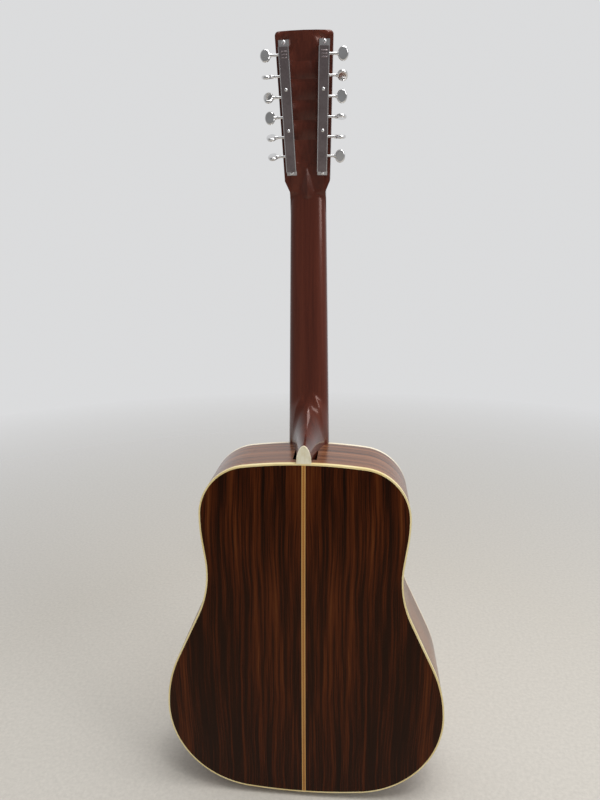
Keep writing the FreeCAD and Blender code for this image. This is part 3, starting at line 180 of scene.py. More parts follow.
class Recipe:
    """The nodes of one material."""

    def __init__(self, name):
        self.material = bpy.data.materials.new(name)
        self.material.use_nodes = True
        self.nodes = self.material.node_tree.nodes
        self.links = self.material.node_tree.links
        self.shader = self.nodes["Principled BSDF"]
        self.place = self.nodes.new("ShaderNodeTexCoord").outputs["Object"]

    def feed(self, socket, value):
        if isinstance(value, bpy.types.NodeSocket):
            self.links.new(value, socket)
        else:
            socket.default_value = value

    def node(self, kind, inputs, **settings):
        node = self.nodes.new("ShaderNode" + kind)
        for name, value in settings.items():
            setattr(node, name, value)
        for name, value in inputs.items():
            self.feed(node.inputs[name], value)
        return node

    def math(self, operation, first, second=0.0, third=0.0):
        inputs = {0: first, 1: second, 2: third}
        return self.node("Math", inputs, operation=operation).outputs[0]

    def axes(self):
        """The X, Y and Z of a place."""
        return self.node("SeparateXYZ", {0: self.place}).outputs

    def vector(self, x, y, z):
        return self.node("CombineXYZ", {0: x, 1: y, 2: z}).outputs[0]

    def stretched(self, vector, scale):
        return self.node("Mapping", {"Vector": vector, "Scale": scale}).outputs[0]

    def noise(self, vector, detail=2.0, roughness=0.5, distortion=0.0):
        inputs = {"Vector": vector, "Scale": 1.0, "Detail": detail}
        inputs.update({"Roughness": roughness, "Distortion": distortion})
        return self.node("TexNoise", inputs).outputs["Fac"]

    def waves(self, scale, direction):
        """Even waves, straight across one direction."""
        inputs = {"Vector": self.place, "Scale": scale, "Distortion": 0.0}
        return self.node("TexWave", inputs, bands_direction=direction).outputs["Fac"]

    def span(self, value, low, high, new_low=0.0, new_high=1.0):
        """Maps a range of values to another, held at its ends."""
        inputs = {"Value": value, "From Min": low, "From Max": high, "To Min": new_low, "To Max": new_high}
        return self.node("MapRange", inputs).outputs["Result"]

    def ramp(self, value, stops):
        """Colours at places from 0 to 1."""
        node = self.node("ValToRGB", {"Fac": value})
        elements = node.color_ramp.elements
        while len(elements) < len(stops):
            elements.new(0.5)
        for element, (place, color) in zip(elements, stops):
            element.position = place
            element.color = (*color, 1.0)
        return node.outputs["Color"]

    def mix(self, share, first, second):
        """Mixes two colours."""
        node = self.node("Mix", {}, data_type="RGBA")
        self.feed(node.inputs[0], share)
        for socket, value in ((node.inputs[6], first), (node.inputs[7], second)):
            self.feed(socket, (*value, 1.0) if isinstance(value, tuple) else value)
        return node.outputs[2]

    def bump(self, height, depth):
        node = self.node("Bump", {"Strength": 1.0, "Distance": depth, "Height": height})
        self.feed(self.shader.inputs["Normal"], node.outputs[0])

    def tint(self, color):
        """Colours the shine of a lacquered wood."""
        self.shader.inputs["Specular Tint"].default_value = (*color, 1.0)

    def finish(self, color, roughness, specular=0.5, metallic=0.0, coat=0.0):
        self.feed(self.shader.inputs["Base Color"], (*color, 1.0) if isinstance(color, tuple) else color)
        self.feed(self.shader.inputs["Roughness"], roughness)
        self.shader.inputs["Specular IOR Level"].default_value = specular
        self.shader.inputs["Metallic"].default_value = metallic
        self.shader.inputs["Coat Weight"].default_value = coat
        self.shader.inputs["Coat Roughness"].default_value = coat_roughness
        return self.material


# Woods


def rosewood_back():
    """Dark bookmatched rosewood: near-black streaks on red-brown, under gloss lacquer."""
    r = Recipe("rosewood_back")
    x, _, z = r.axes()
    out = r.math("ABSOLUTE", x)
    wander = r.noise(r.vector(r.math("MULTIPLY", out, 9.0), 0.0, r.math("MULTIPLY", z, 4.0)), 1.0)
    sway = r.noise(r.vector(r.math("MULTIPLY", out, 30.0), 0.0, r.math("MULTIPLY", z, 16.0)), 1.0)
    out = r.math("ADD", out, r.span(wander, 0.0, 1.0, -0.010, 0.010))
    out = r.math("ADD", out, r.span(sway, 0.0, 1.0, -0.002, 0.002))
    board = r.vector(out, 0.0, z)
    bands = r.noise(r.stretched(board, (48.0, 1.0, 2.2)), 2.0)
    streaks = r.noise(r.stretched(board, (210.0, 1.0, 5.5)), 2.0, 0.6)
    lines = r.noise(r.stretched(board, (800.0, 1.0, 14.0)), 2.0, 0.6)
    pores = r.noise(r.stretched(board, (3200.0, 1.0, 75.0)), 1.0)
    tone = r.math("MULTIPLY_ADD", bands, 0.34, r.math("MULTIPLY", streaks, 0.46))
    tone = r.math("MULTIPLY_ADD", lines, 0.20, tone)
    tone = r.math("SUBTRACT", tone, r.span(pores, 0.60, 0.75, 0.0, 0.05))
    # painted shade: the back's colour darkens towards its lower end
    tone = r.math("ADD", tone, r.span(z, 0.10, 0.42, -0.025, 0.015))
    color = r.ramp(
        tone,
        [
            (0.39, (0.0022, 0.0008, 0.0006)),
            (0.46, (0.0100, 0.0021, 0.0007)),
            (0.52, (0.0330, 0.0062, 0.0014)),
            (0.58, (0.0620, 0.0130, 0.0026)),
            (0.68, (0.1050, 0.0300, 0.0070)),
        ],
    )
    r.bump(pores, pore_depth)
    r.tint(lacquer_tint)
    return r.finish(color, 0.24, specular=0.26)


def lit_rosewood_side():
    """Rosewood with its grain along the bent side, its colour painted lighter than the back's as light
    falling from above.
    """
    r = Recipe("lit_rosewood_side")
    x, y, z = r.axes()
    wander = r.noise(r.stretched(r.place, (6.0, 1.0, 6.0)), 1.0)
    across = r.math("ADD", y, r.span(wander, 0.0, 1.0, -0.006, 0.006))
    board = r.vector(x, across, z)
    bands = r.noise(r.stretched(board, (1.5, 110.0, 1.5)), 2.0)
    lines = r.noise(r.stretched(board, (4.0, 760.0, 4.0)), 2.0, 0.6)
    pores = r.noise(r.stretched(board, (60.0, 3000.0, 60.0)), 1.0)
    tone = r.math("MULTIPLY_ADD", bands, 0.40, r.math("MULTIPLY", lines, 0.60))
    tone = r.math("SUBTRACT", tone, r.span(pores, 0.58, 0.75, 0.0, 0.07))
    # painted light: these tones are lighter than the back's to stand in for light from above on the sides
    color = r.ramp(
        tone,
        [
            (0.35, (0.030, 0.0100, 0.0050)),
            (0.45, (0.110, 0.0400, 0.0180)),
            (0.53, (0.190, 0.0760, 0.0350)),
            (0.65, (0.270, 0.1180, 0.0570)),
        ],
    )
    r.bump(pores, pore_depth)
    return r.finish(color, 0.22, specular=0.45)


def long_grain(name, tones, roughness, specular, across=420.0, along=7.0, pore_share=0.10):
    """Wood whose grain runs up the neck, with short dark pores."""
    r = Recipe(name)
    figure = r.noise(r.stretched(r.place, (38.0, 38.0, 2.5)), 2.0)
    lines = r.noise(r.stretched(r.place, (across, across, along)), 2.0, 0.6)
    pores = r.noise(r.stretched(r.place, (2600.0, 2600.0, 130.0)), 1.0)
    tone = r.math("MULTIPLY_ADD", figure, 0.6, r.math("MULTIPLY", lines, 0.4))
    tone = r.math("SUBTRACT", tone, r.span(pores, 0.56, 0.74, 0.0, pore_share))
    r.bump(pores, pore_depth)
    return r.finish(r.ramp(tone, tones), roughness, specular)


def mahogany():
    """Plain red-brown wood with faint figure and fine pores, under lacquer."""
    r = Recipe("mahogany")
    figure = r.noise(r.stretched(r.place, (30.0, 30.0, 2.2)), 2.0)
    lines = r.noise(r.stretched(r.place, (380.0, 380.0, 8.0)), 2.0, 0.6)
    pores = r.noise(r.stretched(r.place, (2600.0, 2600.0, 130.0)), 1.0)
    tone = r.math("MULTIPLY_ADD", figure, 0.7, r.math("MULTIPLY", lines, 0.3))
    tone = r.math("SUBTRACT", tone, r.span(pores, 0.56, 0.74, 0.0, 0.06))
    tones = [
        (0.34, (0.046, 0.0095, 0.0054)),
        (0.50, (0.078, 0.0165, 0.0090)),
        (0.66, (0.112, 0.0260, 0.0140)),
    ]
    r.bump(pores, 0.00002)
    r.tint(neck_tint)
    return r.finish(r.ramp(tone, tones), 0.22, specular=0.42, coat=0.12)


def block_wood():
    tones = [(0.34, (0.16, 0.060, 0.032)), (0.5, (0.28, 0.120, 0.065)), (0.66, (0.36, 0.170, 0.095))]
    return long_grain("block_wood", tones, 0.6, 0.3)


def ebony():
    tones = [
        (0.38, (0.0060, 0.0052, 0.0048)),
        (0.5, (0.0120, 0.0105, 0.0098)),
        (0.66, (0.0280, 0.0200, 0.0150)),
    ]
    return long_grain("ebony", tones, 0.42, 0.4, pore_share=0.05)


def head_rosewood():
    tones = [
        (0.38, (0.0040, 0.0015, 0.0010)),
        (0.48, (0.0180, 0.0055, 0.0025)),
        (0.58, (0.0450, 0.0140, 0.0055)),
        (0.68, (0.0800, 0.0280, 0.0100)),
    ]
    return long_grain("head_rosewood", tones, 0.18, 0.4, across=300.0, along=3.0)


def spruce():
    """Bookmatched soundboard: fine even grain, closer to the seam, with faint silk across it."""
    r = Recipe("spruce")
    x, _, z = r.axes()
    out = r.math("ABSOLUTE", x)
    wander = r.noise(r.stretched(r.place, (3.0, 0.0, 1.5)), 1.0)
    out = r.math("ADD", out, r.span(wander, 0.0, 1.0, -0.003, 0.003))
    board = r.vector(out, 0.0, z)
    growth = r.node(
        "TexWave",
        {"Vector": board, "Scale": 210.0, "Distortion": 1.2, "Detail": 1.0, "Detail Scale": 0.4},
        wave_type="BANDS",
        bands_direction="X",
        wave_profile="SAW",
    ).outputs["Fac"]
    fade = r.noise(r.stretched(board, (60.0, 1.0, 1.5)), 2.0)
    silk = r.noise(r.stretched(board, (45.0, 1.0, 420.0)), 1.0)
    color = r.ramp(
        r.math("MULTIPLY_ADD", growth, 0.45, r.math("MULTIPLY", fade, 0.55)),
        [
            (0.10, (0.720, 0.440, 0.185)),
            (0.60, (0.640, 0.360, 0.135)),
            (0.80, (0.500, 0.250, 0.080)),
        ],
    )
    color = r.mix(r.span(silk, 0.5, 0.7, 0.0, 0.25), color, (0.78, 0.51, 0.24))
    r.bump(growth, 0.00002)
    return r.finish(color, 0.26, specular=0.45)


def brace_spruce():
    tones = [(0.36, (0.44, 0.290, 0.150)), (0.5, (0.58, 0.410, 0.235)), (0.66, (0.66, 0.490, 0.300))]
    r = Recipe("brace_spruce")
    grain = r.noise(r.stretched(r.place, (30.0, 1400.0, 30.0)), 2.0)
    figure = r.noise(r.stretched(r.place, (18.0, 60.0, 18.0)), 2.0)
    tone = r.math("MULTIPLY_ADD", grain, 0.6, r.math("MULTIPLY", figure, 0.4))
    r.bump(grain, 0.00005)
    return r.finish(r.ramp(tone, tones), 0.65, specular=0.3)


def kerfed_lining():
    """Pale strips with saw cuts across them every few millimetres."""
    r = Recipe("kerfed_lining")
    cut = r.span(r.waves(55.0, "DIAGONAL"), 0.85, 0.97)
    grain = r.noise(r.stretched(r.place, (60.0, 1200.0, 60.0)), 2.0)
    wood = r.ramp(grain, [(0.35, (0.42, 0.240, 0.120)), (0.65, (0.56, 0.360, 0.200))])
    r.bump(r.math("MULTIPLY", cut, -1.0), 0.0008)
    # painted shade: the saw cuts are coloured dark
    return r.finish(r.mix(cut, wood, (0.10, 0.05, 0.025)), 0.7, specular=0.25)


# Inlays, edges and small pieces


def center_strip():
    """Gold marquetry between two pale lines, with dark edges."""
    r = Recipe("center_strip")
    x, _, z = r.axes()
    out = r.math("ABSOLUTE", x)
    beat = r.math("FRACT", r.math("MULTIPLY", r.math("ADD", out, z), 420.0))
    weave = r.span(beat, 0.35, 0.65)
    age = r.noise(r.stretched(r.place, (300.0, 1.0, 24.0)), 2.0)
    gold = r.mix(weave, (0.46, 0.205, 0.040), (0.22, 0.080, 0.018))
    gold = r.mix(r.span(age, 0.35, 0.75, 0.0, 0.5), gold, (0.30, 0.12, 0.024))
    light = r.mix(r.span(age, 0.4, 0.7, 0.0, 0.4), (0.60, 0.33, 0.095), (0.44, 0.21, 0.055))
    color = r.mix(r.math("GREATER_THAN", out, seam_half * seam_gold_share), gold, light)
    rim = r.math("GREATER_THAN", out, seam_half * seam_light_share)
    color = r.mix(rim, color, (0.030, 0.010, 0.004))
    return r.finish(color, 0.22, specular=0.35)


def rosette():
    """Dark and pale lines in the outer rings, and small slanted tiles in the middle one."""
    r = Recipe("rosette")
    x, _, z = r.axes()
    up = r.math("SUBTRACT", z, rosette_height)
    radius = r.math("SQRT", r.math("ADD", r.math("MULTIPLY", x, x), r.math("MULTIPLY", up, up)))
    angle = r.math("ARCTAN2", up, x)
    inner, outer = middle_ring
    slant = r.math("MULTIPLY", r.math("ABSOLUTE", r.math("SUBTRACT", radius, (inner + outer) / 2)), 260.0)
    turns = r.math("MULTIPLY_ADD", angle, ring_segments / (2 * pi), slant)
    tile = r.math("GREATER_THAN", r.math("FRACT", turns), 0.5)
    tiles = r.mix(tile, (0.62, 0.40, 0.14), (0.040, 0.014, 0.008))
    lines = r.math("GREATER_THAN", r.math("FRACT", r.math("MULTIPLY", radius, 2000.0)), 0.5)
    edging = r.mix(lines, (0.74, 0.62, 0.36), (0.010, 0.008, 0.007))
    inside = r.math("MULTIPLY", r.math("GREATER_THAN", radius, inner), r.math("LESS_THAN", radius, outer))
    return r.finish(r.mix(inside, edging, tiles), 0.25, specular=0.45)


def cream_edging():
    """Aged cream edging: yellower on the back than on the front."""
    r = Recipe("cream_edging")
    _, y, _ = r.axes()
    age = r.noise(r.stretched(r.place, (22.0, 40.0, 22.0)), 3.0)
    grain = r.noise(r.stretched(r.place, (500.0, 500.0, 30.0)), 1.0)
    back = r.ramp(age, [(0.3, (0.72, 0.56, 0.24)), (0.7, (0.84, 0.72, 0.40))])
    front = r.ramp(age, [(0.3, (0.76, 0.66, 0.47)), (0.7, (0.86, 0.78, 0.62))])
    color = r.mix(r.span(y, -0.02, 0.03), back, front)
    color = r.mix(r.span(grain, 0.5, 0.8, 0.0, 0.15), color, (0.66, 0.50, 0.24))
    return r.finish(color, 0.26, specular=0.45)


def ivory(name, pale, dark):
    """Bone or ivory-like plastic, with faint darker fibres."""
    r = Recipe(name)
    fibre = r.noise(r.stretched(r.place, (260.0, 260.0, 60.0)), 3.0, 0.6)
    cloud = r.noise(r.stretched(r.place, (70.0, 70.0, 70.0)), 2.0)
    tone = r.math("MULTIPLY_ADD", fibre, 0.5, r.math("MULTIPLY", cloud, 0.5))
    r.bump(fibre, 0.00002)
    return r.finish(r.ramp(tone, [(0.36, dark), (0.62, pale)]), 0.30, specular=0.5)


def tortoise():
    """Dark red-brown plastic with darker clouds."""
    r = Recipe("tortoise")
    cloud = r.noise(r.stretched(r.place, (26.0, 26.0, 26.0)), 4.0, 0.6, 1.2)
    tones = [
        (0.40, (0.0060, 0.0030, 0.0025)),
        (0.52, (0.030, 0.0070, 0.0030)),
        (0.66, (0.110, 0.0300, 0.0080)),
    ]
    return r.finish(r.ramp(cloud, tones), 0.12, specular=0.5)


def pearl():
    r = Recipe("pearl")
    cloud = r.noise(r.stretched(r.place, (330.0, 330.0, 330.0)), 2.0, 0.6, 1.5)
    tones = [(0.35, (0.62, 0.70, 0.68)), (0.5, (0.86, 0.84, 0.82)), (0.65, (0.80, 0.68, 0.74))]
    return r.finish(r.ramp(cloud, tones), 0.18, specular=0.6)


def black_plastic():
    r = Recipe("black_plastic")
    wear = r.noise(r.stretched(r.place, (900.0, 900.0, 900.0)), 2.0)
    color = r.mix(r.span(wear, 0.45, 0.75), (0.012, 0.012, 0.012), (0.030, 0.028, 0.027))
    return r.finish(color, 0.22, specular=0.5)


# Metals


def metal(name, color, dull_color, smooth, rough, scale=(220.0, 220.0, 220.0), scratch=0.00001):
    """A metal with patches of dullness, and fine marks along one direction where the scale is stretched."""
    r = Recipe(name)
    patches = r.noise(r.stretched(r.place, (60.0, 60.0, 60.0)), 3.0, 0.6)
    marks = r.noise(r.stretched(r.place, scale), 2.0)
    dull = r.span(r.math("MULTIPLY_ADD", patches, 0.6, r.math("MULTIPLY", marks, 0.4)), 0.40, 0.65)
    r.bump(marks, scratch)
    return r.finish(r.mix(dull, color, dull_color), r.span(dull, 0.0, 1.0, smooth, rough), metallic=1.0)


def chrome():
    return metal("chrome", (0.80, 0.80, 0.81), (0.68, 0.67, 0.66), 0.05, 0.13)


def dull_nickel():
    marks = (1500.0, 1500.0, 40.0)
    return metal("dull_nickel", (0.30, 0.255, 0.26), (0.20, 0.165, 0.17), 0.28, 0.44, marks, 0.00002)


def bright_nickel():
    return metal("bright_nickel", (0.76, 0.74, 0.74), (0.56, 0.53, 0.53), 0.14, 0.28, (900.0, 900.0, 30.0))


def fret_metal():
    return metal("fret_metal", (0.70, 0.68, 0.64), (0.55, 0.52, 0.47), 0.18, 0.32, (60.0, 1200.0, 1200.0))


def string_steel():
    return metal("string_steel", (0.72, 0.71, 0.69), (0.55, 0.53, 0.50), 0.20, 0.34, (1200.0, 1200.0, 50.0))


def wound_bronze():
    """Bronze wrap on a string, as fine turns along it."""
    r = Recipe("wound_bronze")
    turns = r.waves(800.0, "Z")
    age = r.noise(r.stretched(r.place, (90.0, 90.0, 20.0)), 2.0)
    color = r.ramp(age, [(0.35, (0.42, 0.235, 0.100)), (0.65, (0.62, 0.390, 0.190))])
    r.bump(turns, 0.00006)
    # painted shade: the grooves between the turns are darkened
    groove_shaded_bronze = r.mix(r.span(turns, 0.0, 0.35, 0.6, 0.0), color, (0.12, 0.06, 0.03))
    return r.finish(groove_shaded_bronze, 0.34, metallic=1.0)


# Which material each node gets


def dress(nodes):
    """Gives every CAD node its material, and adds the neck's skin and the covers' ribs in theirs."""
    edging = cream_edging()
    back = rosewood_back()
    side = lit_rosewood_side()
    inner = brace_spruce()
    block = block_wood()
    black_wood = ebony()
    bone = ivory("bone", (0.82, 0.76, 0.62), (0.66, 0.57, 0.40))
    steel = string_steel()
    shiny = chrome()
    looks = {
        "soundboard": spruce(),
        "rosette": rosette(),
        "pickguard": tortoise(),
        "x_braces": inner,
        "tone_bars": inner,
        "soundhole_braces": inner,
        "bridge_plate": block,
        "back_plate_bass": back,
        "back_plate_treble": back,
        "back_center_strip": center_strip(),
        "back_seam_strip": inner,
        "back_braces": inner,
        "side_bass": side,
        "side_treble": side,
        "bindings": edging,
        "linings": kerfed_lining(),
        "neck_block": block,
        "end_block": block,
        "end_pin": bone,
        "neck": mahogany(),
        "heel_cap": ivory("heel_ivory", (0.84, 0.79, 0.62), (0.70, 0.61, 0.38)),
        "truss_rod": steel,
        "headstock_veneer": head_rosewood(),
        "fingerboard": black_wood,
        "frets": fret_metal(),
        "position_dots": pearl(),
        "wound_strings": wound_bronze(),
        "plain_strings": steel,
        "nut": bone,
        "saddle": bone,
        "bridge": black_wood,
        "bridge_pins": black_plastic(),
        "tuner_base_plates": bright_nickel(),
        "tuner_covers": dull_nickel(),
        "tuner_screws": shiny,
        "post_bushings": shiny,
    }
    neck_skin(nodes["neck"], looks["neck"])
    cover_ribs(looks["tuner_covers"], looks["tuner_base_plates"])
    for name, node in nodes.items():
        material = looks.get(name, shiny)
        node.data.materials.clear()
        node.data.materials.append(material)


# The neck's skin


def board_half(z):
    return nut_half + (body_half - nut_half) * (nut_height - z) / (nut_height - body_end)


def neck_back(z):
    """The front-to-back place of the neck's back, on its middle line."""
    share = (nut_height - z) / (nut_height - body_end)
    return board_plane - nut_depth - (body_depth - nut_depth) * share


def in_shaft(x, y, z):
    half = board_half(z)
    edge = board_plane - straight_edge
    if y > edge:
        return abs(x) < half
    across = abs(x) / half
    deep = (edge - y) / (edge - neck_back(z))
    return across ** section_power + deep ** section_power < 1


def heel_rise(y):
    """How far the heel reaches up the neck at one depth."""
    share = min(max((y - heel_end) / heel_curve_depth, 0.0), 1.0)
    return heel_length + heel_run * (1 - sqrt(1 - share * share))


def heel_half(y, height):
    """Half the heel's width at one depth and height over the body."""
    share = (y - heel_end) / heel_width_reach
    widest = body_half - heel_end_half - heel_waist_gain
    half = heel_end_half + heel_waist_gain * share + widest * share ** 4
    tall = (height / heel_rise(y) - heel_shoulder) / (1 - heel_shoulder)
    if tall <= 0:
        return half
    if tall >= 1:
        return 0.0
    return half * (1 - tall ** heel_power) ** (1 / heel_power)


def in_heel(x, y, z):
    return y > heel_cap_plane and abs(x) < heel_half(y, z - body_end)


def reach(inside, angle, z):
    """How far a shape goes from the fingerboard's middle, at an angle from sideways to straight back."""
    near = 0.0
    far = reach_limit
    for _ in range(reach_steps):
        middle = (near + far) / 2
        if inside(middle * cos(angle), board_plane - middle * sin(angle), z):
            near = middle
        else:
            far = middle
    return near


def smooth_max(first, second, width):
    if width <= 0:
        return max(first, second)
    share = max(width - abs(first - second), 0.0) / width
    return max(first, second) + share * share * width / 4


def skin_angles(z):
    """Angles from sideways to straight back, with one on the corner of the heel's flat end."""
    corner = pi / 2
    half = heel_half(heel_cap_plane, max(z - body_end, 0.0))
    if half > 0:
        corner = atan2(board_plane - heel_cap_plane, half)
    side = [corner * (1 - (1 - i / skin_side_points) ** skin_crowding) for i in range(skin_side_points + 1)]
    end = [corner + (pi / 2 - corner) * (i + 1) / skin_end_points for i in range(skin_end_points)]
    return side + end


def neck_ring(z):
    """One side of the neck's outline, from the fingerboard to the middle of its back."""
    rise = z - body_end
    fade = min(max(rise / heel_blend_height, 0.0), 1.0)
    points = []
    for angle in skin_angles(z):
        blend = heel_blend * sin(2 * angle) * fade
        far = reach(in_shaft, angle, z)
        heel = reach(in_heel, angle, z)
        if heel > 0:
            far = smooth_max(far, heel, blend * min(1.0, (heel_length + heel_run - rise) / heel_length))
        points.append((far * cos(angle), board_plane - far * sin(angle)))
    return points


def head_ring(z):
    """The outline where the neck's back runs into the headstock and the dart on it."""
    up = z - head_foot.z
    head = head_foot.y - up * tan(head_tilt)
    if up < 0:
        head = head_foot.y - up
    tail = nut_height - dart_tail
    tip = head_foot.z + dart_length * cos(head_tilt)
    share = (z - tail) / (tip - tail)
    tip_y = head_foot.y - dart_length * sin(head_tilt)
    bow = sin(pi * min(max(share, 0.0), 1.0) ** dart_bow_power)
    ridge = neck_back(tail) + dart_sink + (tip_y - neck_back(tail)) * share - dart_rise * bow
    half = max(dart_half * (1 - max(up, 0.0) / (tip - head_foot.z)), 0.0) + dart_tip_half
    flank_foot = head if up >= 0 else head_foot.y
    slope = max((flank_foot - ridge) / half, dart_least_slope)
    points = [(board_half(min(z, nut_height)), board_plane)]
    for x, y in neck_ring(min(z, nut_height))[1:]:
        y += max(up, 0.0) * neck_fade_slope
        y = -smooth_max(-y, -head, neck_to_head_blend)
        y = -smooth_max(-y, -(ridge + slope * abs(x)), dart_edge_blend)
        if up > 0:
            inside = z < tip + skirt and x < nut_half - skirt
            y += -skin_lift if inside else skirt_depth
        points.append((x, y))
    return points


def skin_heights():
    """Heights of the neck's rings: at the heel, up its curve and along the shaft."""
    turns = range(skin_curve_turn, 90 + skin_curve_turn // 2, skin_curve_turn)
    curve = [heel_length + heel_run * (1 - cos(radians(turn))) for turn in turns]
    straight = [skin_straight_start + skin_straight_step * i for i in range(skin_straight_rings)]
    return [body_end + rise for rise in (*skin_rises_low, *skin_rises_high, *curve, *straight)]


def head_heights(start):
    """Heights of the rings from the shaft's last one to past the dart's tip."""
    low = start + skin_head_gap
    high = head_foot.z + dart_length * cos(head_tilt) + skin_head_margin
    return [low + (high - low) * i / skin_head_rows for i in range(skin_head_rows + 1)]


def fill_rows(mesh, rows):
    """Smooth faces between neighbouring rows of points."""
    for low, high in zip(rows, rows[1:]):
        for a, b, c, d in zip(low, low[1:], high[1:], high):
            mesh.faces.new((a, b, c, d)).smooth = True


def carved_skin():
    """The neck, heel and headstock's back as one smooth surface."""
    mesh = bmesh.new()
    shaft_heights = skin_heights()
    rings = [(z, neck_ring(z)) for z in shaft_heights]
    rings += [(z, head_ring(z)) for z in head_heights(shaft_heights[-1])]
    rows = []
    for z, ring in rings:
        left = [mesh.verts.new((-x, y, z)) for x, y in ring]
        right = [mesh.verts.new((x, y, z)) for x, y in reversed(ring[:-1])]
        rows.append(left + right)
    fill_rows(mesh, rows)
    bmesh.ops.remove_doubles(mesh, verts=mesh.verts, dist=merge_distance)
    return mesh


def head_part(node):
    """The CAD neck's part above the nut, with flat faces."""
    head = bmesh.new()
    head.from_mesh(node.data)
    geometry = head.verts[:] + head.edges[:] + head.faces[:]
    plane = {"plane_co": (0, 0, skin_cut), "plane_no": (0, 0, 1)}
    bmesh.ops.bisect_plane(head, geom=geometry, clear_inner=True, **plane)
    bmesh.ops.remove_doubles(head, verts=head.verts, dist=head_merge_distance)
    for face in head.faces:
        face.smooth = False
    data = bpy.data.meshes.new("head_part")
    head.to_mesh(data)
    return data


def add_piece(name, mesh, material):
    """Makes a mesh into an object that rides on the guitar."""
    data = bpy.data.meshes.new(name)
    mesh.to_mesh(data)
    data.materials.append(material)
    piece = bpy.data.objects.new(name, data)
    bpy.context.scene.collection.objects.link(piece)
    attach(piece, "root")
    return piece


def neck_skin(node, material):
    """A carved neck in place of the CAD one, with the headstock itself from the CAD node."""
    mesh = carved_skin()
    head = head_part(node)
    mesh.from_mesh(head)
    bpy.data.meshes.remove(head)
    piece = add_piece("neck_skin", mesh, material)
    piece.data.set_sharp_from_angle(angle=skin_sharp_angle)
    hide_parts("neck")


# Pressed ribs on the tuner covers


def lid_frame(side):
    """A tuner cover's start, level with the nut, and its directions along, across and out from it."""
    up = Vector((0.0, -sin(head_tilt), cos(head_tilt)))
    out = Vector((0.0, -cos(head_tilt), -sin(head_tilt)))
    direction = (up + Vector((lid_flare * side, 0, 0))).normalized()
    start = Vector((side * lid_inset, board_plane, nut_height)) + out * lid_level
    return start, direction, direction.cross(out).normalized(), out


def rib(mesh, middle, along, across, out, length, width, height):
    """A long pillow with rounded ends, pressed out of a flat lid."""
    rows = []
    for i in range(rib_steps + 1):
        u = i / rib_steps * 2 - 1
        row = []
        for j in range(rib_steps + 1):
            v = j / rib_steps * 2 - 1
            lift = height * sqrt(max((1 - u ** rib_end_power) * (1 - v * v), 0.0))
            place = middle + across * (u * length / 2) + along * (v * width / 2) + out * (lift - rib_sink)
            row.append(mesh.verts.new(place))
        rows.append(row)
    fill_rows(mesh, rows)


def cover_ribs(material, edge_material):
    """Ribs across the upper end of each cover, and a raised rolled edge along both its sides in the
    brighter base-plate metal, as a painted highlight.
    """
    ribs = bmesh.new()
    edges = bmesh.new()
    for side in (1, -1):
        start, along, across, out = lid_frame(side)
        for place in rib_places:
            rib(ribs, start + along * place, along, across, out, rib_length, rib_width, rib_height)
        for edge in (-1, 1):
            middle = start + along * (lid_low + lid_high) / 2 + across * (edge * lid_edge)
            rib(edges, middle, across, along, out, lid_high - lid_low, edge_width, edge_height)
    add_piece("cover_ribs", ribs, material)
    # painted highlight: the raised edges take the brighter metal, while the lid keeps the dull one
    add_piece("cover_edges", edges, edge_material)


# Floor, light and camera


def floor(height):
    """A wide pale floor that fades into the background."""
    circle = {"vertices": floor_points, "radius": floor_radius, "fill_type": "NGON"}
    bpy.ops.mesh.primitive_circle_add(location=(0, 0, height), **circle)
    disc = bpy.context.object
    disc.name = "floor"
    r = Recipe("floor")
    speckle = r.noise(r.stretched(r.place, (160.0, 160.0, 160.0)), 4.0, 0.7)
    darker, lighter = (tuple(c * share for c in floor_color) for share in (0.93, 1.05))
    color = r.ramp(speckle, [(0.35, darker), (0.65, lighter)])
    x, y, _ = r.axes()
    distance = r.math("SQRT", r.math("ADD", r.math("MULTIPLY", x, x), r.math("MULTIPLY", y, y)))
    r.feed(r.shader.inputs["Alpha"], r.span(distance, floor_fade_start, floor_fade_end, 1.0, 0.0))
    disc.data.materials.append(r.finish(color, 0.75, specular=0.2))


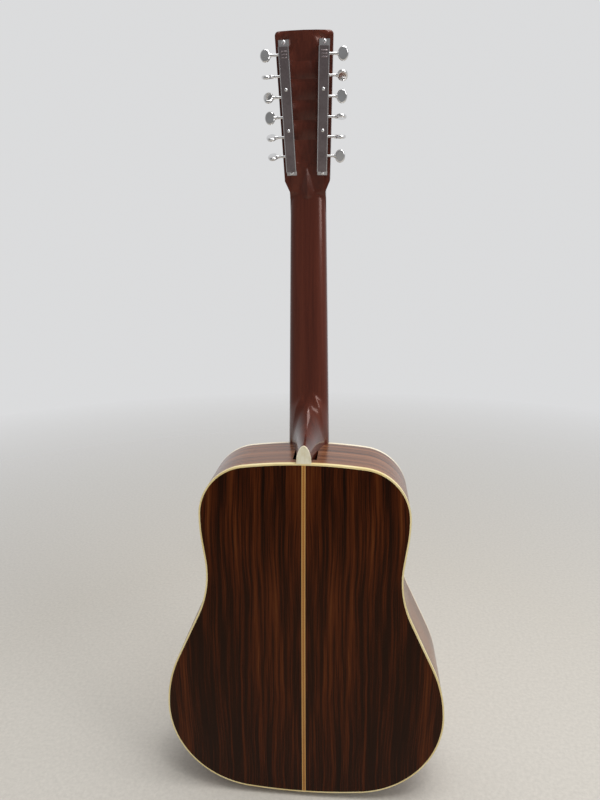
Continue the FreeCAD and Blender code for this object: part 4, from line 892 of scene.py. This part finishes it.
def world():
    """A pale room, paler behind the guitar than behind the camera."""
    scene_world = bpy.data.worlds.new("room")
    bpy.context.scene.world = scene_world
    scene_world.use_nodes = True
    nodes = scene_world.node_tree.nodes
    links = scene_world.node_tree.links
    direction = nodes.new("ShaderNodeTexCoord").outputs["Generated"]
    split = nodes.new("ShaderNodeSeparateXYZ")
    links.new(direction, split.inputs[0])
    level = nodes.new("ShaderNodeMapRange")
    level.interpolation_type = "SMOOTHSTEP"
    limits = (*world_turn, world_behind_camera, world_facing_camera)
    for name, value in zip(("From Min", "From Max", "To Min", "To Max"), limits):
        level.inputs[name].default_value = value
    links.new(split.outputs["Y"], level.inputs["Value"])
    links.new(level.outputs["Result"], nodes["Background"].inputs["Strength"])
    nodes["Background"].inputs["Color"].default_value = (*world_color, 1.0)


def lamp(name, place, target, width, height, power):
    data = bpy.data.lights.new(name, "AREA")
    data.shape = "RECTANGLE"
    data.size = width
    data.size_y = height
    data.energy = power
    lit = bpy.data.objects.new(name, data)
    bpy.context.scene.collection.objects.link(lit)
    lit.location = place
    lit.rotation_mode = "QUATERNION"
    lit.rotation_quaternion = (target - Vector(place)).to_track_quat("-Z", "Y")


def lamps():
    lamp("ceiling", (0.5, -0.4, 2.6), guitar_middle, 1.8, 1.4, 42.0)
    lamp("right", (2.2, -1.6, 1.5), guitar_middle, 0.9, 1.4, 22.0)
    lamp("heel_glint", (0.35, -0.9, 2.3), Vector((0, 0, 0.53)), 0.12, 0.12, 3.0)


def camera():
    data = bpy.data.cameras.new("camera")
    data.lens = camera_lens
    data.sensor_width = camera_sensor_width
    seen = bpy.data.objects.new("camera", data)
    bpy.context.scene.collection.objects.link(seen)
    back = camera_right.cross(camera_up).normalized()
    turn = Matrix((camera_right, camera_up, back)).transposed().to_4x4()
    seen.matrix_world = Matrix.Translation(camera_place) @ turn
    bpy.context.scene.camera = seen


def clear_scene():
    for item in list(bpy.data.objects):
        bpy.data.objects.remove(item)


clear_scene()
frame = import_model()
cad_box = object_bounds()
dress(frame["nodes"])
floor(cad_box[0].z)
world()
lamps()
camera()
bpy.context.scene.view_settings.view_transform = "Standard"
